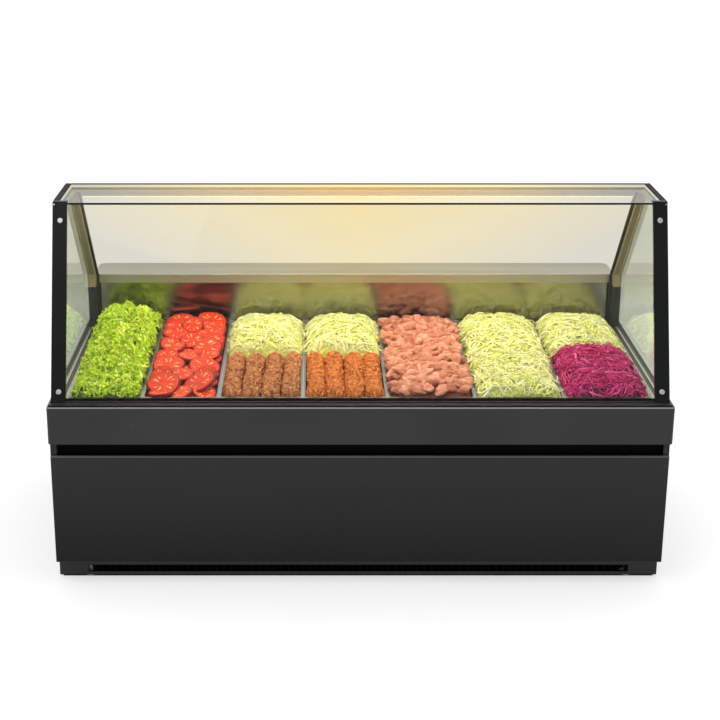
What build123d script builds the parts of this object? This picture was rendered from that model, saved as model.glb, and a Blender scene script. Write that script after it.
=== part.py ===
from build123d import *
import math
import os

# Refrigerated deli case with a glazed canopy over seven pans, open at the rear.
# Millimetres. Origin: middle of the footprint at floor level.
# +X runs along the case, +Y goes to the server's side, +Z is up. The customer stands at -Y.

LENGTH = 2000
DEPTH = 1080
HEIGHT = 1240
HALF = LENGTH / 2
FRONT = -DEPTH / 2
REAR = DEPTH / 2
SHEET = 1.5
GAP = 0.4

# Heights of the body, from the floor up.
FOOT_H = 6
FLOOR_Z = 80
PANEL_TOP = 457
FASCIA_LOW = 510
DECK_Z = 635
PAN_TOP = 640
WORKTOP_LOW = 789
WORKTOP_TOP = 823

# Distances behind the fascia.
PANEL_FACE = FRONT + 30
KICK_FACE = FRONT + 91
LEDGE_FRONT = FRONT + 23
LEDGE_REAR = FRONT + 79
WORKTOP_FRONT = FRONT + 921
REAR_WALL = FRONT + 930
REAR_SKIN = FRONT + 1060

# Canopy.
GLASS_T = 6
GLASS_IN = 970
POST_IN = 943
POST_OUT = 990
POST_T = 14
POST_FOOT_Y = FRONT + 43
POST_HEAD_Y = FRONT + 279
RAIL_LOW = 1218
RAIL_REAR = FRONT + 560
RAIL_IN = 960
TOP_GLASS_Z = 1236
REAR_POST_IN = 950
REAR_POST_OUT = 982
POST_BASE = FRONT + 863

# Pans.
PAN_WIDTHS = (236, 248, 272, 274, 284, 288, 278)
PANS = len(PAN_WIDTHS)
PAN_FIELD = sum(PAN_WIDTHS) / 2
PAN_GAP = 1.6
PAN_RIM = 6
PAN_FRONT = FRONT + 81
PAN_REAR = FRONT + 908
PAN_DEPTH = 100
PAN_T = 1.0
PAN_CORNER = 14
LINER_TOP = PAN_TOP - 1.8

# Rear storage and machine bay.
BAY_X = (-960, -345)
STORE_X = (-325, 955)
STORE_Z = (96, 384)
FRAME_FRONT = FRONT + 1000
FRAME_REAR = FRONT + 1028
DOOR_FRONT = FRONT + 1033
DOOR_REAR = FRONT + 1070
DOOR_SPLIT = 315
DOOR_GAP = 6


def block(x0, x1, y0, y1, z0, z1):
    """Closed block between two opposite corners."""
    centre = Pos((x0 + x1) / 2, (y0 + y1) / 2, (z0 + z1) / 2)
    return centre * Box(x1 - x0, y1 - y0, z1 - z0)


def profile(points, x0, x1):
    """Polygon given as (y, z) points, drawn along X from x0 to x1."""
    face = make_face(Polyline(*points, close=True))
    return extrude(Plane.YZ.offset(x0) * face, x1 - x0)


def rod(centre, radius, length, axis):
    """Round bar of the given length centred on a point, along 'X', 'Y' or 'Z'."""
    turn = {"X": Rot(0, 90, 0), "Y": Rot(90, 0, 0), "Z": Rot(0, 0, 0)}[axis]
    return Pos(*centre) * turn * Cylinder(radius, length)


def save(name, *solids):
    """Writes one sub-part as STEP."""
    shape = solids[0] if len(solids) == 1 else Compound(children=list(solids))
    export_step(shape, f"parts/{name}.step")


def mirrored(solid):
    """The same solid on the other side of the case's middle plane."""
    return mirror(solid, about=Plane.YZ)


def front_line(z, back=0.0):
    """Y of the sloping front plane at a height, moved back square to the plane."""
    slope = (POST_HEAD_Y - POST_FOOT_Y) / (HEIGHT - DECK_Z)
    return POST_FOOT_Y + slope * (z - DECK_Z) + back * math.hypot(1, slope)


def rear_line(z, forward=0.0):
    """Y of the sloping rear post's outer face at a height, moved forward square to it."""
    slope = (FRONT + 920 - RAIL_REAR) / (RAIL_LOW - 817)
    return RAIL_REAR + slope * (RAIL_LOW - z) - forward * math.hypot(1, slope)


# ---------------------------------------------------------------- base

TUBE = 40
TUBE_LOW = 50
TUBE_WALL = 2
FOOT_PLACES = [(x, y) for y in (KICK_FACE + 29, FRAME_REAR - 23) for x in (-900, 900)]
STUD_R = 6
STUD_CLEAR = 0.05


def base_frame():
    """Welded tube frame with nut plates for the feet, and the sheet floor on it."""
    front, rear = KICK_FACE + 9, FRAME_REAR
    runs = [(-978, 978, front, front + TUBE), (-978, 978, rear - TUBE, rear)]
    runs += [(x, x + TUBE, front + TUBE, rear - TUBE) for x in (-978, -365, 300, 938)]
    tubes = []
    for x0, x1, y0, y1 in runs:
        tube = block(x0, x1, y0, y1, TUBE_LOW, FLOOR_Z)
        inner = [x0, x1, y0 + TUBE_WALL, y1 - TUBE_WALL]
        if y1 - y0 > TUBE:
            inner = [x0 + TUBE_WALL, x1 - TUBE_WALL, y0, y1]
        tube -= block(*inner, TUBE_LOW + TUBE_WALL, FLOOR_Z - TUBE_WALL)
        for fx, fy in FOOT_PLACES:
            if y1 - y0 == TUBE and y0 < fy < y1:
                tube += rod((fx, fy, TUBE_LOW + 8), 14, 16, "Z")
                tube -= rod((fx, fy, TUBE_LOW + 6), STUD_R + STUD_CLEAR, 24, "Z")
        tubes.append(tube)
    floor = block(-978, 978, front, rear, FLOOR_Z, FLOOR_Z + SHEET)
    floor -= block(-900, -420, FRONT + 530, FRONT + 760, FLOOR_Z - 1, FLOOR_Z + 5)
    save("base_frame", *tubes, floor)


def kick_plates():
    """Front kick plate with its long air slot, and the side and rear kick plates."""
    front = block(-HALF, HALF, KICK_FACE, KICK_FACE + SHEET, FOOT_H, FLOOR_Z)
    front -= block(-904, 904, KICK_FACE - 1, KICK_FACE + 3, 17, 42)
    side = block(HALF - SHEET, HALF, KICK_FACE + SHEET, FRAME_REAR, FOOT_H, FLOOR_Z)
    rear = block(-HALF, HALF, FRAME_REAR, FRAME_REAR + SHEET, FOOT_H, FLOOR_Z)
    save("kick_plate", front, side, mirrored(side), rear)


def intake_grille():
    """Slotted strip behind the kick plate's air slot."""
    strip = block(-920, 920, KICK_FACE + SHEET, KICK_FACE + 2 * SHEET, 12, 47)
    slots = [
        Pos(x, KICK_FACE + 1.5 * SHEET, 29.5) * Box(16, 6, 20)
        for x in range(-894, 895, 24)
    ]
    save("intake_grille", strip - slots)


def levelling_feet():
    """Four threaded feet, each with a flat pad and a hexagon to turn it by."""
    for number, (x, y) in enumerate(FOOT_PLACES, 1):
        foot = Pos(x, y, 4) * Cylinder(22, 8)
        foot += extrude(Pos(x, y, 8) * RegularPolygon(11, 6), 8)
        foot += rod((x, y, 37), STUD_R, 44, "Z")
        save(f"levelling_foot_{number}", foot)


# ---------------------------------------------------------------- casing

def end_panels():
    """Folded sheet cheeks that close the cabinet below the fascia."""
    y0, y1 = FRONT + 40, FRAME_FRONT
    panel = block(980, HALF, y0, y1, FLOOR_Z, FASCIA_LOW)
    panel -= block(
        979, HALF - SHEET, y0 + SHEET, y1 - SHEET, FLOOR_Z + SHEET, FASCIA_LOW - SHEET)
    save("end_panels", panel, mirrored(panel))


def front_panel():
    """Lower front cover: a shallow tray, open to the rear."""
    tray = block(-HALF, HALF, PANEL_FACE, FRONT + 40, FLOOR_Z, PANEL_TOP)
    tray = fillet(tray.edges().group_by(Axis.Y)[0], 4)
    low, high = FLOOR_Z + SHEET, PANEL_TOP - SHEET
    tray -= block(SHEET - HALF, HALF - SHEET, PANEL_FACE + SHEET, FRONT + 41, low, high)
    save("front_panel", tray)


def gap_channel():
    """Recessed channel between the lower front panel and the fascia."""
    points = [
        (FRONT + 40, PANEL_TOP), (FRONT + 57, PANEL_TOP), (FRONT + 57, FASCIA_LOW),
        (FRONT + 40, FASCIA_LOW), (FRONT + 40, FASCIA_LOW - SHEET),
        (FRONT + 57 - SHEET, FASCIA_LOW - SHEET), (FRONT + 57 - SHEET, PANEL_TOP + SHEET),
        (FRONT + 40, PANEL_TOP + SHEET),
    ]
    save("gap_channel", profile(points, -979, 979))


FASCIA_T = 4


def fascia():
    """Wide band round the front and both sides, with a groove behind its top edge."""
    z_mid = (FASCIA_LOW + DECK_Z) / 2
    height = DECK_Z - FASCIA_LOW
    depth = REAR_SKIN - 2 - FRONT
    outer = Pos(0, FRONT + depth / 2, z_mid) * Box(LENGTH, depth, height)
    outer = fillet(outer.edges().filter_by(Axis.Z).group_by(Axis.Y)[0], 12)
    lip = outer.edges().group_by(Axis.Z)[-1].filter_by(lambda e: e.center().Y < REAR_SKIN - 5)
    outer = fillet(lip, 3.2)
    inner = Pos(0, FRONT + FASCIA_T + depth / 2, z_mid)
    inner *= Box(LENGTH - 2 * FASCIA_T, depth, height + 2)
    inner = fillet(inner.edges().filter_by(Axis.Z).group_by(Axis.Y)[0], 12 - FASCIA_T)
    band = outer - inner
    x = HALF - FASCIA_T
    band += block(-x + 10, x - 10, FRONT + 2, LEDGE_FRONT, 617, 620)
    band += block(-x + 10, x - 10, FRONT + 2, FRONT + 40, FASCIA_LOW, FASCIA_LOW + 2)
    save("front_fascia", band)


def deck_trim():
    """Ledge behind the fascia that carries the canopy, with a strip down each side."""
    points = [
        (LEDGE_FRONT, 612), (LEDGE_FRONT, DECK_Z), (LEDGE_REAR, DECK_Z),
        (LEDGE_REAR, 622), (LEDGE_REAR - 2, 622), (LEDGE_REAR - 2, DECK_Z - 2),
        (LEDGE_FRONT + 2, DECK_Z - 2), (LEDGE_FRONT + 2, 612),
    ]
    ledge = profile(points, -995.9, 995.9)
    strip = block(977.5, 995.9, LEDGE_REAR, REAR_SKIN - 2, DECK_Z - 2, DECK_Z)
    strip += block(FLANGE_X + 1, 977.5, POST_BASE, REAR_SKIN - 2, DECK_Z - 2, DECK_Z)
    save("deck_trim", ledge, strip, mirrored(strip))


# ---------------------------------------------------------------- well and pans

WELL_X = PAN_FIELD - PAN_RIM + 1.5
WELL_FRONT = PAN_FRONT + PAN_RIM - 1.5
WELL_REAR = PAN_REAR - PAN_RIM + 1.5
WELL_FLOOR = 440
WELL_T = 1.2
FLANGE_X = 948
PIPE_R = 5
PORT_X = (-800, -770)


def pan_edges(number):
    """Left and right limits of a pan's place in the well, counted from the left."""
    left = sum(PAN_WIDTHS[:number - 1]) - PAN_FIELD
    return left, left + PAN_WIDTHS[number - 1]


def pipe_ports():
    """Two clearance holes for the refrigerant pipes through the well's floor."""
    return [rod((x, FRONT + 700, WELL_FLOOR), PIPE_R + 1, 20, "Z") for x in PORT_X]


def well_liner():
    """Welded inner skin of the insulated well, with a flange that carries the pans."""
    x, t = WELL_X, WELL_T
    y0, y1, z0, z1 = WELL_FRONT, WELL_REAR, WELL_FLOOR, LINER_TOP
    floor = block(-x, x, y0, y1, z0 - t, z0) - pipe_ports()
    drain = (880, FRONT + 820, z0 - 15)
    floor += rod(drain, 14, 30, "Z")
    floor -= rod(drain, 12, 40, "Z")
    ends = [block(-x, x, y0 - t, y0, z0 - t, z1 - t), block(-x, x, y1, y1 + t, z0 - t, z1 - t)]
    side = block(x, x + t, y0 - t, y1 + t, z0 - t, z1 - t)
    near, far = LEDGE_REAR + GAP, REAR_WALL - GAP
    rims = [block(-x, x, near, y0, z1 - t, z1), block(-x, x, y1, far, z1 - t, z1)]
    side_rim = block(x, FLANGE_X, near, far, z1 - t, z1)
    save("well_liner", floor, *ends, side, mirrored(side), *rims, side_rim, mirrored(side_rim))


def support_bars():
    """Bars between the pans, and the ribbed strip beside the outer pans."""
    bars = []
    for i in range(1, PANS):
        x = pan_edges(i)[1]
        bars.append(block(x - 5, x + 5, WELL_FRONT, WELL_REAR, LINER_TOP - 20, LINER_TOP))
    y0, y1 = LEDGE_REAR + GAP, POST_BASE - 1
    strip = block(FLANGE_X, GLASS_IN - 1, y0, y1, DECK_Z - 1, DECK_Z + 1)
    for x in (FLANGE_X, GLASS_IN - 4):
        strip += block(x, x + 3, y0, y1, DECK_Z, DECK_Z + 4)
    save("pan_support_bars", *bars, strip, mirrored(strip))


def pan(number):
    """Full-depth food pan with a turned-out rim."""
    x0, x1 = pan_edges(number)
    x0, x1 = x0 + PAN_GAP / 2, x1 - PAN_GAP / 2
    y0, y1 = PAN_FRONT + PAN_RIM, PAN_REAR - PAN_RIM
    low, t = PAN_TOP - PAN_DEPTH, PAN_T
    tub = block(x0 + PAN_RIM, x1 - PAN_RIM, y0, y1, low, PAN_TOP)
    tub = fillet(tub.edges().filter_by(Axis.Z), PAN_CORNER)
    rim = block(x0, x1, PAN_FRONT, PAN_REAR, PAN_TOP - 1.5, PAN_TOP)
    rim = fillet(rim.edges().filter_by(Axis.Z), 5)
    inner = (x0 + PAN_RIM + t, x1 - PAN_RIM - t)
    hollow = block(*inner, y0 + t, y1 - t, low + t, PAN_TOP + 1)
    hollow = fillet(hollow.edges().filter_by(Axis.Z), PAN_CORNER - t)
    save(f"pan_{number}", tub + rim - hollow)


def fill_space(number):
    """X and Y limits of a pan's contents."""
    x0, x1 = pan_edges(number)
    wall = PAN_RIM + PAN_T + GAP
    side = PAN_GAP / 2 + wall
    return x0 + side, x1 - side, PAN_FRONT + wall, PAN_REAR - wall


FILL_LOW = PAN_TOP - PAN_DEPTH + PAN_T + GAP


def in_pan(solid, number):
    """The part of a solid that stays inside a pan's rounded walls."""
    space = block(*fill_space(number), FILL_LOW, PAN_TOP + 150)
    return solid & fillet(space.edges().filter_by(Axis.Z), PAN_CORNER - PAN_T - GAP)


def heap(number, heights):
    """Heaped food: a level bed with a top surface given by heights from front to rear."""
    x0, x1, y0, y1 = fill_space(number)
    step = (y1 - y0) / (len(heights) - 1)
    top = [(y0 + i * step, PAN_TOP + h) for i, h in enumerate(heights)]
    solid = profile([(y0, FILL_LOW), *top, (y1, FILL_LOW)], x0, x1)
    crown = solid.edges().filter_by(lambda e: e.center().Z > PAN_TOP - 30)
    crown = crown.filter_by(lambda e: min(abs(e.center().X - x0), abs(e.center().X - x1)) < 1)
    crown = crown.filter_by(lambda e: abs((e @ 0 - e @ 1).Z) < abs((e @ 0 - e @ 1).Y))
    return in_pan(chamfer(crown, 6), number)


def round_roll(x, y, z, radius, length):
    """Rounded roll lying along Y."""
    roll = rod((x, y, z), radius, length, "Y")
    return fillet(roll.edges().filter_by(GeomType.CIRCLE), radius * 0.6)


ROLL_R = 29
ROLL_SPAN = FRONT + 500


def kebab_fill(number):
    """Shredded cabbage over a low bed, with four rolls in front."""
    x0, x1, y0, y1 = fill_space(number)
    bed_top = PAN_TOP - 46
    bed = profile(
        [(y0, FILL_LOW), (y0, bed_top), (ROLL_SPAN, bed_top), (ROLL_SPAN + 6, PAN_TOP + 20),
         (ROLL_SPAN + 180, PAN_TOP + 34), (y1, PAN_TOP + 12), (y1, FILL_LOW)], x0, x1)
    pitch = (x1 - x0) / 4
    near, far = y0 + 2, ROLL_SPAN - 2
    middle = (near + far) / 2
    z = bed_top + ROLL_R + 1
    rolls = [round_roll(x0 + (i + 0.5) * pitch, middle, z, ROLL_R, far - near) for i in range(4)]
    save(f"kebab_rolls_{number}", in_pan(bed, number), *rolls)


def fills():
    """Contents of the seven pans, from left to right."""
    save("lettuce_fill", heap(1, [8, 45, 70, 85, 92, 88, 40]))
    save("tomato_fill", heap(2, [4, 14, 18, 20, 20, 20, 8]))
    kebab_fill(3)
    kebab_fill(4)
    save("chicken_fill", heap(5, [6, 20, 26, 30, 30, 26, 10]))
    save("cabbage_fill", heap(6, [8, 28, 38, 46, 50, 44, 18]))
    save("red_cabbage_fill", heap(7, [8, 28, 38, 46, 52, 46, 18]))


# ---------------------------------------------------------------- rear body

WORKTOP_HALF = 960
UPSTAND_HALF = 958


def rear_upstand():
    """Stainless wall behind the pans with the two cheeks that carry the worktop."""
    top = WORKTOP_TOP - SHEET
    wall = block(-UPSTAND_HALF, UPSTAND_HALF, REAR_WALL, REAR_WALL + SHEET, DECK_Z, top)
    y0, y1 = REAR_WALL + SHEET, REAR_SKIN
    cheek = block(UPSTAND_HALF - SHEET, UPSTAND_HALF, y0, y1, DECK_Z, WORKTOP_LOW)
    save("rear_upstand", wall, cheek, mirrored(cheek))


def worktop():
    """Folded stainless worktop with rounded rear corners."""
    y0, y1, t = WORKTOP_FRONT, REAR, SHEET
    top = block(-WORKTOP_HALF, WORKTOP_HALF, y0, y1, WORKTOP_LOW, WORKTOP_TOP)
    top = fillet(top.edges().filter_by(Axis.Z).group_by(Axis.Y)[-1], 30)
    top = fillet(top.faces().sort_by(Axis.Z)[-1].edges(), 3)
    x = WORKTOP_HALF - t
    hollow = block(-x, x, y0 + t, y1 - t, WORKTOP_LOW - 1, WORKTOP_TOP - t)
    hollow = fillet(hollow.edges().filter_by(Axis.Z).group_by(Axis.Y)[-1], 30 - t)
    save("worktop", top - hollow)


def storage_liner():
    """Cold store under the pans: a bent sheet box, open to the rear."""
    x0, x1 = STORE_X
    z0, z1 = STORE_Z
    y0, t = FRONT + 110, 1.2
    store = block(x0 - t, x1 + t, y0 - t, FRAME_FRONT, z0 - t, z1 + t)
    store -= block(x0, x1, y0, FRAME_FRONT + 1, z0, z1)
    save("storage_liner", store)


SERVICE_Z = (92, 388)
CONTROL_Z = (394, 500)


def rear_frame():
    """Rear frame round the doors and the machine bay, with the skin above it."""
    low, high = FLOOR_Z + SHEET, FASCIA_LOW
    bay = (-945, -360)
    bars = [
        (-HALF, bay[0], low, high), (bay[1], STORE_X[0], low, high), (STORE_X[1], HALF, low, high),
        (*bay, low, SERVICE_Z[0] + 10), (*bay, SERVICE_Z[1] - 10, CONTROL_Z[0] + 10),
        (*bay, CONTROL_Z[1] - 10, high), (*STORE_X, low, STORE_Z[0]),
    ]
    frame = [block(x0, x1, FRAME_FRONT, FRAME_REAR, z0, z1) for x0, x1, z0, z1 in bars]
    frame.append(block(*STORE_X, FRAME_REAR - 2, FRAME_REAR, STORE_Z[1], high))
    for hinge_x in (DOOR_1_X, DOOR_2_X):
        for z in HINGE_Z:
            lug = block(hinge_x - 7, hinge_x + 7, FRAME_REAR, HINGE_Y + 7, z - 3, z + 3)
            frame.append(lug - rod((hinge_x, HINGE_Y, z), PIN_R, 10, "Z"))
    skin = block(-995.9, 995.9, REAR_SKIN - 2, REAR_SKIN, FASCIA_LOW, DECK_Z)
    cheek = UPSTAND_HALF - SHEET
    skin += block(-cheek, cheek, REAR_SKIN - 2, REAR_SKIN, DECK_Z, WORKTOP_LOW)
    shelf = block(-995.9, 995.9, FRAME_REAR - 10, REAR_SKIN - 2, FASCIA_LOW, FASCIA_LOW + 2)
    save("rear_frame", *frame, skin, shelf)


def service_panel():
    """Cover of the machine bay with rows of louvres."""
    z0, z1 = SERVICE_Z
    x0, x1 = BAY_X
    y0, y1 = FRAME_REAR, FRAME_REAR + 12
    cover = block(x0, x1, y0, y1, z0, z1)
    cover = fillet(cover.edges().filter_by(Axis.Y), 4)
    cover -= block(x0 + SHEET, x1 - SHEET, y0 - 1, y1 - SHEET, z0 + SHEET, z1 - SHEET)
    slots = []
    for row in range(9):
        z = z0 + 62 + row * 22
        slots += [block(x, x + 230, y1 - 4, y1 + 1, z, z + 8) for x in (x0 + 60, x0 + 325)]
    cover -= slots
    cover -= rod((GLAND_X, y1, GLAND_Z), GLAND_R, 10, "Y")
    save("service_panel", cover)


GLAND_X = -900
GLAND_Z = 120
GLAND_R = 10


def cable_gland():
    """Strain relief in the service panel where the supply lead leaves."""
    y1 = FRAME_REAR + 12
    gland = rod((GLAND_X, y1 - SHEET / 2, GLAND_Z), GLAND_R - 0.1, SHEET + 8, "Y")
    gland += rod((GLAND_X, y1 + 4, GLAND_Z), 14, 8, "Y")
    gland += rod((GLAND_X, y1 - SHEET - 4, GLAND_Z), 13, 6, "Y")
    gland += rod((GLAND_X, y1 + 12, GLAND_Z), 9, 10, "Y")
    gland -= rod((GLAND_X, y1, GLAND_Z), 4.5, 60, "Y")
    save("cable_gland", gland)


SWITCH_X = (-900, -840)
CONTROL_MID = sum(CONTROL_Z) / 2
CONTROL_FACE = FRAME_REAR + 12
KNOB_X = -740
ROCKER_W = 20
ROCKER_H = 26


def control_panel():
    """Plate with the two rocker switches and the thermostat."""
    z0, z1 = CONTROL_Z
    x0, x1 = BAY_X
    plate = block(x0, x1, FRAME_REAR, CONTROL_FACE, z0, z1)
    plate = fillet(plate.edges().filter_by(Axis.Y), 4)
    plate -= block(x0 + 2, x1 - 2, FRAME_REAR - 1, CONTROL_FACE - 2, z0 + 2, z1 - 2)
    for x in SWITCH_X:
        bezel = block(x - 14, x + 14, FRAME_REAR - 10, CONTROL_FACE + 2, CONTROL_MID - 18, CONTROL_MID + 18)
        half_w, half_h = ROCKER_W / 2 + 0.8, ROCKER_H / 2 + 1.8
        bezel -= block(
            x - half_w, x + half_w, FRAME_REAR - 8, CONTROL_FACE + 3,
            CONTROL_MID - half_h, CONTROL_MID + half_h)
        plate -= block(x - half_w, x + half_w, FRAME_REAR, CONTROL_FACE + 3,
                       CONTROL_MID - half_h, CONTROL_MID + half_h)
        plate += bezel
        plate += rod((x, CONTROL_FACE - 6, CONTROL_MID), 1.5, 2 * half_w + 2, "X")
    plate -= rod((KNOB_X, CONTROL_FACE, CONTROL_MID), 4.05, 20, "Y")
    save("control_panel", plate)


def rocker(name, x):
    """Rocker that tips on a pin, shown with its upper half pressed in."""
    points = [(-8, -9), (-8, 9), (1.0, 12.6), (4.5, -12.6)]
    body = make_face(Polyline(*points, close=True))
    body = Plane.YZ.offset(x - ROCKER_W / 2) * body
    key = extrude(body, ROCKER_W)
    key = Pos(0, CONTROL_FACE, CONTROL_MID) * key
    key -= rod((x, CONTROL_FACE - 6, CONTROL_MID), 1.55, ROCKER_W + 2, "X")
    save(name, key)


def thermostat_knob():
    """Knob with a pointer, on a spindle through the control panel."""
    knob = rod((KNOB_X, CONTROL_FACE + 1 + 8, CONTROL_MID), 19, 16, "Y")
    knob = chamfer(knob.edges().filter_by(GeomType.CIRCLE).group_by(Axis.Y)[-1], 2)
    knob += block(KNOB_X - 1.5, KNOB_X + 1.5, CONTROL_FACE + 14, CONTROL_FACE + 19,
                  CONTROL_MID, CONTROL_MID + 17)
    knob += rod((KNOB_X, CONTROL_FACE - 3, CONTROL_MID), 4, 12, "Y")
    knob += rod((KNOB_X, CONTROL_FACE - 8, CONTROL_MID), 9, 6, "Y")
    save("thermostat_knob", knob)


# ---------------------------------------------------------------- doors

HINGE_Y = DOOR_REAR - 6
PIN_R = 3
DOOR_1_X = STORE_X[0] - 9
DOOR_2_X = STORE_X[1] + 9
DOOR_Z = (STORE_Z[0] - 4, STORE_Z[1] + 4)
HINGE_Z = (DOOR_Z[0] - 4, DOOR_Z[1] + 4)


def door(name, x0, x1, hinge_x, pull_x):
    """Insulated door: folded skin with an inner tray, pivots and a recessed pull."""
    z0, z1 = DOOR_Z
    skin = block(x0, x1, DOOR_FRONT, DOOR_REAR, z0, z1)
    skin = fillet(skin.edges().filter_by(Axis.Y), 3)
    cavity = block(x0 + 1.2, x1 - 1.2, DOOR_FRONT + 2, DOOR_REAR - 1.2, z0 + 1.2, z1 - 1.2)
    middle = (z0 + z1) / 2
    pull = (pull_x - 25, pull_x + 25, middle - 55, middle + 55)
    pocket_wall = block(pull[0], pull[1], DOOR_REAR - 24, DOOR_REAR, pull[2], pull[3])
    pocket = block(pull[0] + 2, pull[1] - 2, DOOR_REAR - 22, DOOR_REAR + 1, pull[2] + 2, pull[3] - 2)
    stiles = [rod((hinge_x, HINGE_Y, z0 + 20), 5.9, 40, "Z"),
              rod((hinge_x, HINGE_Y, z1 - 20), 5.9, 40, "Z")]
    panel = skin - cavity + pocket_wall - pocket
    for stile in stiles:
        panel += stile
    panel -= rod((hinge_x, HINGE_Y, z0 + 10), PIN_R + 0.05, 40, "Z")
    panel -= rod((hinge_x, HINGE_Y, z1 - 10), PIN_R + 0.05, 40, "Z")
    vent = rod(((x0 + x1) / 2, DOOR_FRONT, middle), 3, 8, "Y")
    save(name, panel - vent)


def gasket(name, x0, x1, clear_low, clear_high):
    """Magnetic seal round the inside of a door."""
    z0, z1 = DOOR_Z
    y0, y1 = FRAME_REAR + GAP, DOOR_FRONT
    ring = block(x0 + clear_low, x1 - clear_high, y0, y1, z0 + 1, z1 - 1)
    ring -= block(x0 + clear_low + 12, x1 - clear_high - 12, y0 - 1, y1 + 1, z0 + 13, z1 - 13)
    save(name, ring)


def doors():
    """Two doors of the cold store, hinged at the outer ends."""
    left = (DOOR_1_X - 6, DOOR_SPLIT - DOOR_GAP / 2)
    right = (DOOR_SPLIT + DOOR_GAP / 2, DOOR_2_X + 6)
    door("rear_door_left", *left, DOOR_1_X, left[1] - 45)
    door("rear_door_right", *right, DOOR_2_X, right[0] + 45)
    gasket("door_gasket_left", *left, 8, 2)
    gasket("door_gasket_right", *right, 2, 8)


def hinge_pins():
    """Four pins that the doors turn on."""
    pins = []
    for x in (DOOR_1_X, DOOR_2_X):
        low = HINGE_Z[0] - 3
        pins.append(rod((x, HINGE_Y, low + 13), PIN_R, 26, "Z"))
        high = HINGE_Z[1] + 3
        pins.append(rod((x, HINGE_Y, high - 13), PIN_R, 26, "Z"))
    save("door_hinge_pins", *pins)


# ---------------------------------------------------------------- refrigeration

def blades(centre, hub, tip, depth, count):
    """Axial fan: a hub on a shaft along Y with pitched blades."""
    fan = rod(centre, hub, depth, "Y")
    for i in range(count):
        blade = Pos(0, 0, (hub + tip) / 2 - 2) * Rot(0, 0, 32) * Box(hub * 1.5, 2, tip - hub + 4)
        fan += Pos(*centre) * Rot(0, i * 360 / count, 0) * blade
    keep = rod(centre, tip, depth * 3, "Y")
    return fan & keep


COND_X, COND_Y, COND_Z, COND_R = -560, FRONT + 780, 240, 120
EVAP_X, EVAP_Y, EVAP_Z, EVAP_R = 0, FRONT + 240, 488, 38


def fan_set(name, x, y, z, radius):
    """Fan wheel with its shaft, and the square shroud with its motor."""
    wheel = blades((x, y, z), radius * 0.25, radius, radius * 0.16, 5)
    wheel += rod((x, y + radius * 0.2, z), radius * 0.06, radius * 0.35, "Y")
    save(name, wheel)
    half, depth = radius + 8, radius * 0.25
    plate = block(x - half, x + half, y - depth, y + depth, z - half, z + half)
    plate -= rod((x, y, z), radius + 4, 3 * depth, "Y")
    motor_y = y + radius * 0.62
    motor = rod((x, motor_y, z), radius * 0.24, radius * 0.6, "Y")
    motor -= rod((x, y + radius * 0.3, z), radius * 0.06 + 0.05, radius * 0.2, "Y")
    arms = []
    for side in (-1, 1):
        x_in, x_out = x + side * radius * 0.2, x + side * half
        arms.append(block(min(x_in, x_out), max(x_in, x_out), y + depth, y + radius * 0.6, z - 4, z + 4))
    for arm in arms:
        motor += arm
    return plate + motor


def shrouds():
    """Shrouds of the condenser fan and the evaporator fan."""
    condenser = fan_set("condenser_fan", COND_X, COND_Y, COND_Z, COND_R)
    evaporator = fan_set("evaporator_fan", EVAP_X, EVAP_Y, EVAP_Z, EVAP_R)
    save("fan_shrouds", condenser, evaporator)


def finned_coil(name, span_x, span_y, span_z, fins, rows):
    """Finned block: upright fins joined by rows of tube."""
    (x0, x1), (y0, y1), (z0, z1) = span_x, span_y, span_z
    step = (x1 - x0) / fins
    coil = [block(x0 + i * step, x0 + i * step + 1.5, y0, y1, z0, z1) for i in range(fins + 1)]
    pitch = (z1 - z0) / rows
    tubes = []
    for i in range(rows):
        z = z0 + (i + 0.5) * pitch
        for y in (y0 + (y1 - y0) * 0.3, y0 + (y1 - y0) * 0.7):
            tubes.append(rod(((x0 + x1) / 2, y, z), 4, x1 - x0 + 24, "X"))
    solid = coil[0].fuse(*coil[1:], *tubes)
    save(name, solid)


COMP_X, COMP_Y, COMP_Z = -560, FRONT + 420, 96
STUB_X = COMP_X - 95
COND_SPAN = (-700, -420)
COND_END = COND_SPAN[0] - 12
COND_TUBES = (FRONT + 615, FRONT + 635)
EVAP_HALF = 620
EVAP_END = -EVAP_HALF - 12
EVAP_TUBES = (FRONT + 338, FRONT + 362)
EVAP_ROWS = (472.5, 507.5)


def compressor():
    """Hermetic compressor on its foot plate, with two pipe stubs."""
    x, y, z = COMP_X, COMP_Y, COMP_Z
    pot = Pos(x, y, z + 85) * Cylinder(85, 150)
    pot = fillet(pot.edges().filter_by(GeomType.CIRCLE), 34)
    seam = Pos(x, y, z + 92) * Cylinder(88, 8)
    plate = block(x - 120, x + 120, y - 90, y + 90, z, z + 3)
    corners = [(x + a, y + b) for a in (-100, 100) for b in (-70, 70)]
    grommets = [rod((cx, cy, z - 7.2), 10, 14.4, "Z") for cx, cy in corners]
    plate += block(x - 60, x + 60, y - 60, y + 60, z + 3, z + 20)
    for stub_y, stub_z in ((y, 190), (y + 20, 220)):
        pot += rod((STUB_X + 15, stub_y, stub_z), 7, 30, "X")
    save("compressor", pot + seam + plate, *grommets)


def pipe(points):
    """Round pipe along straight runs joined by arcs."""
    path = FilletPolyline(*points, radius=16)
    plane = Plane(origin=path @ 0, z_dir=path % 0)
    return sweep(plane * Circle(PIPE_R), path=path)


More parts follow.
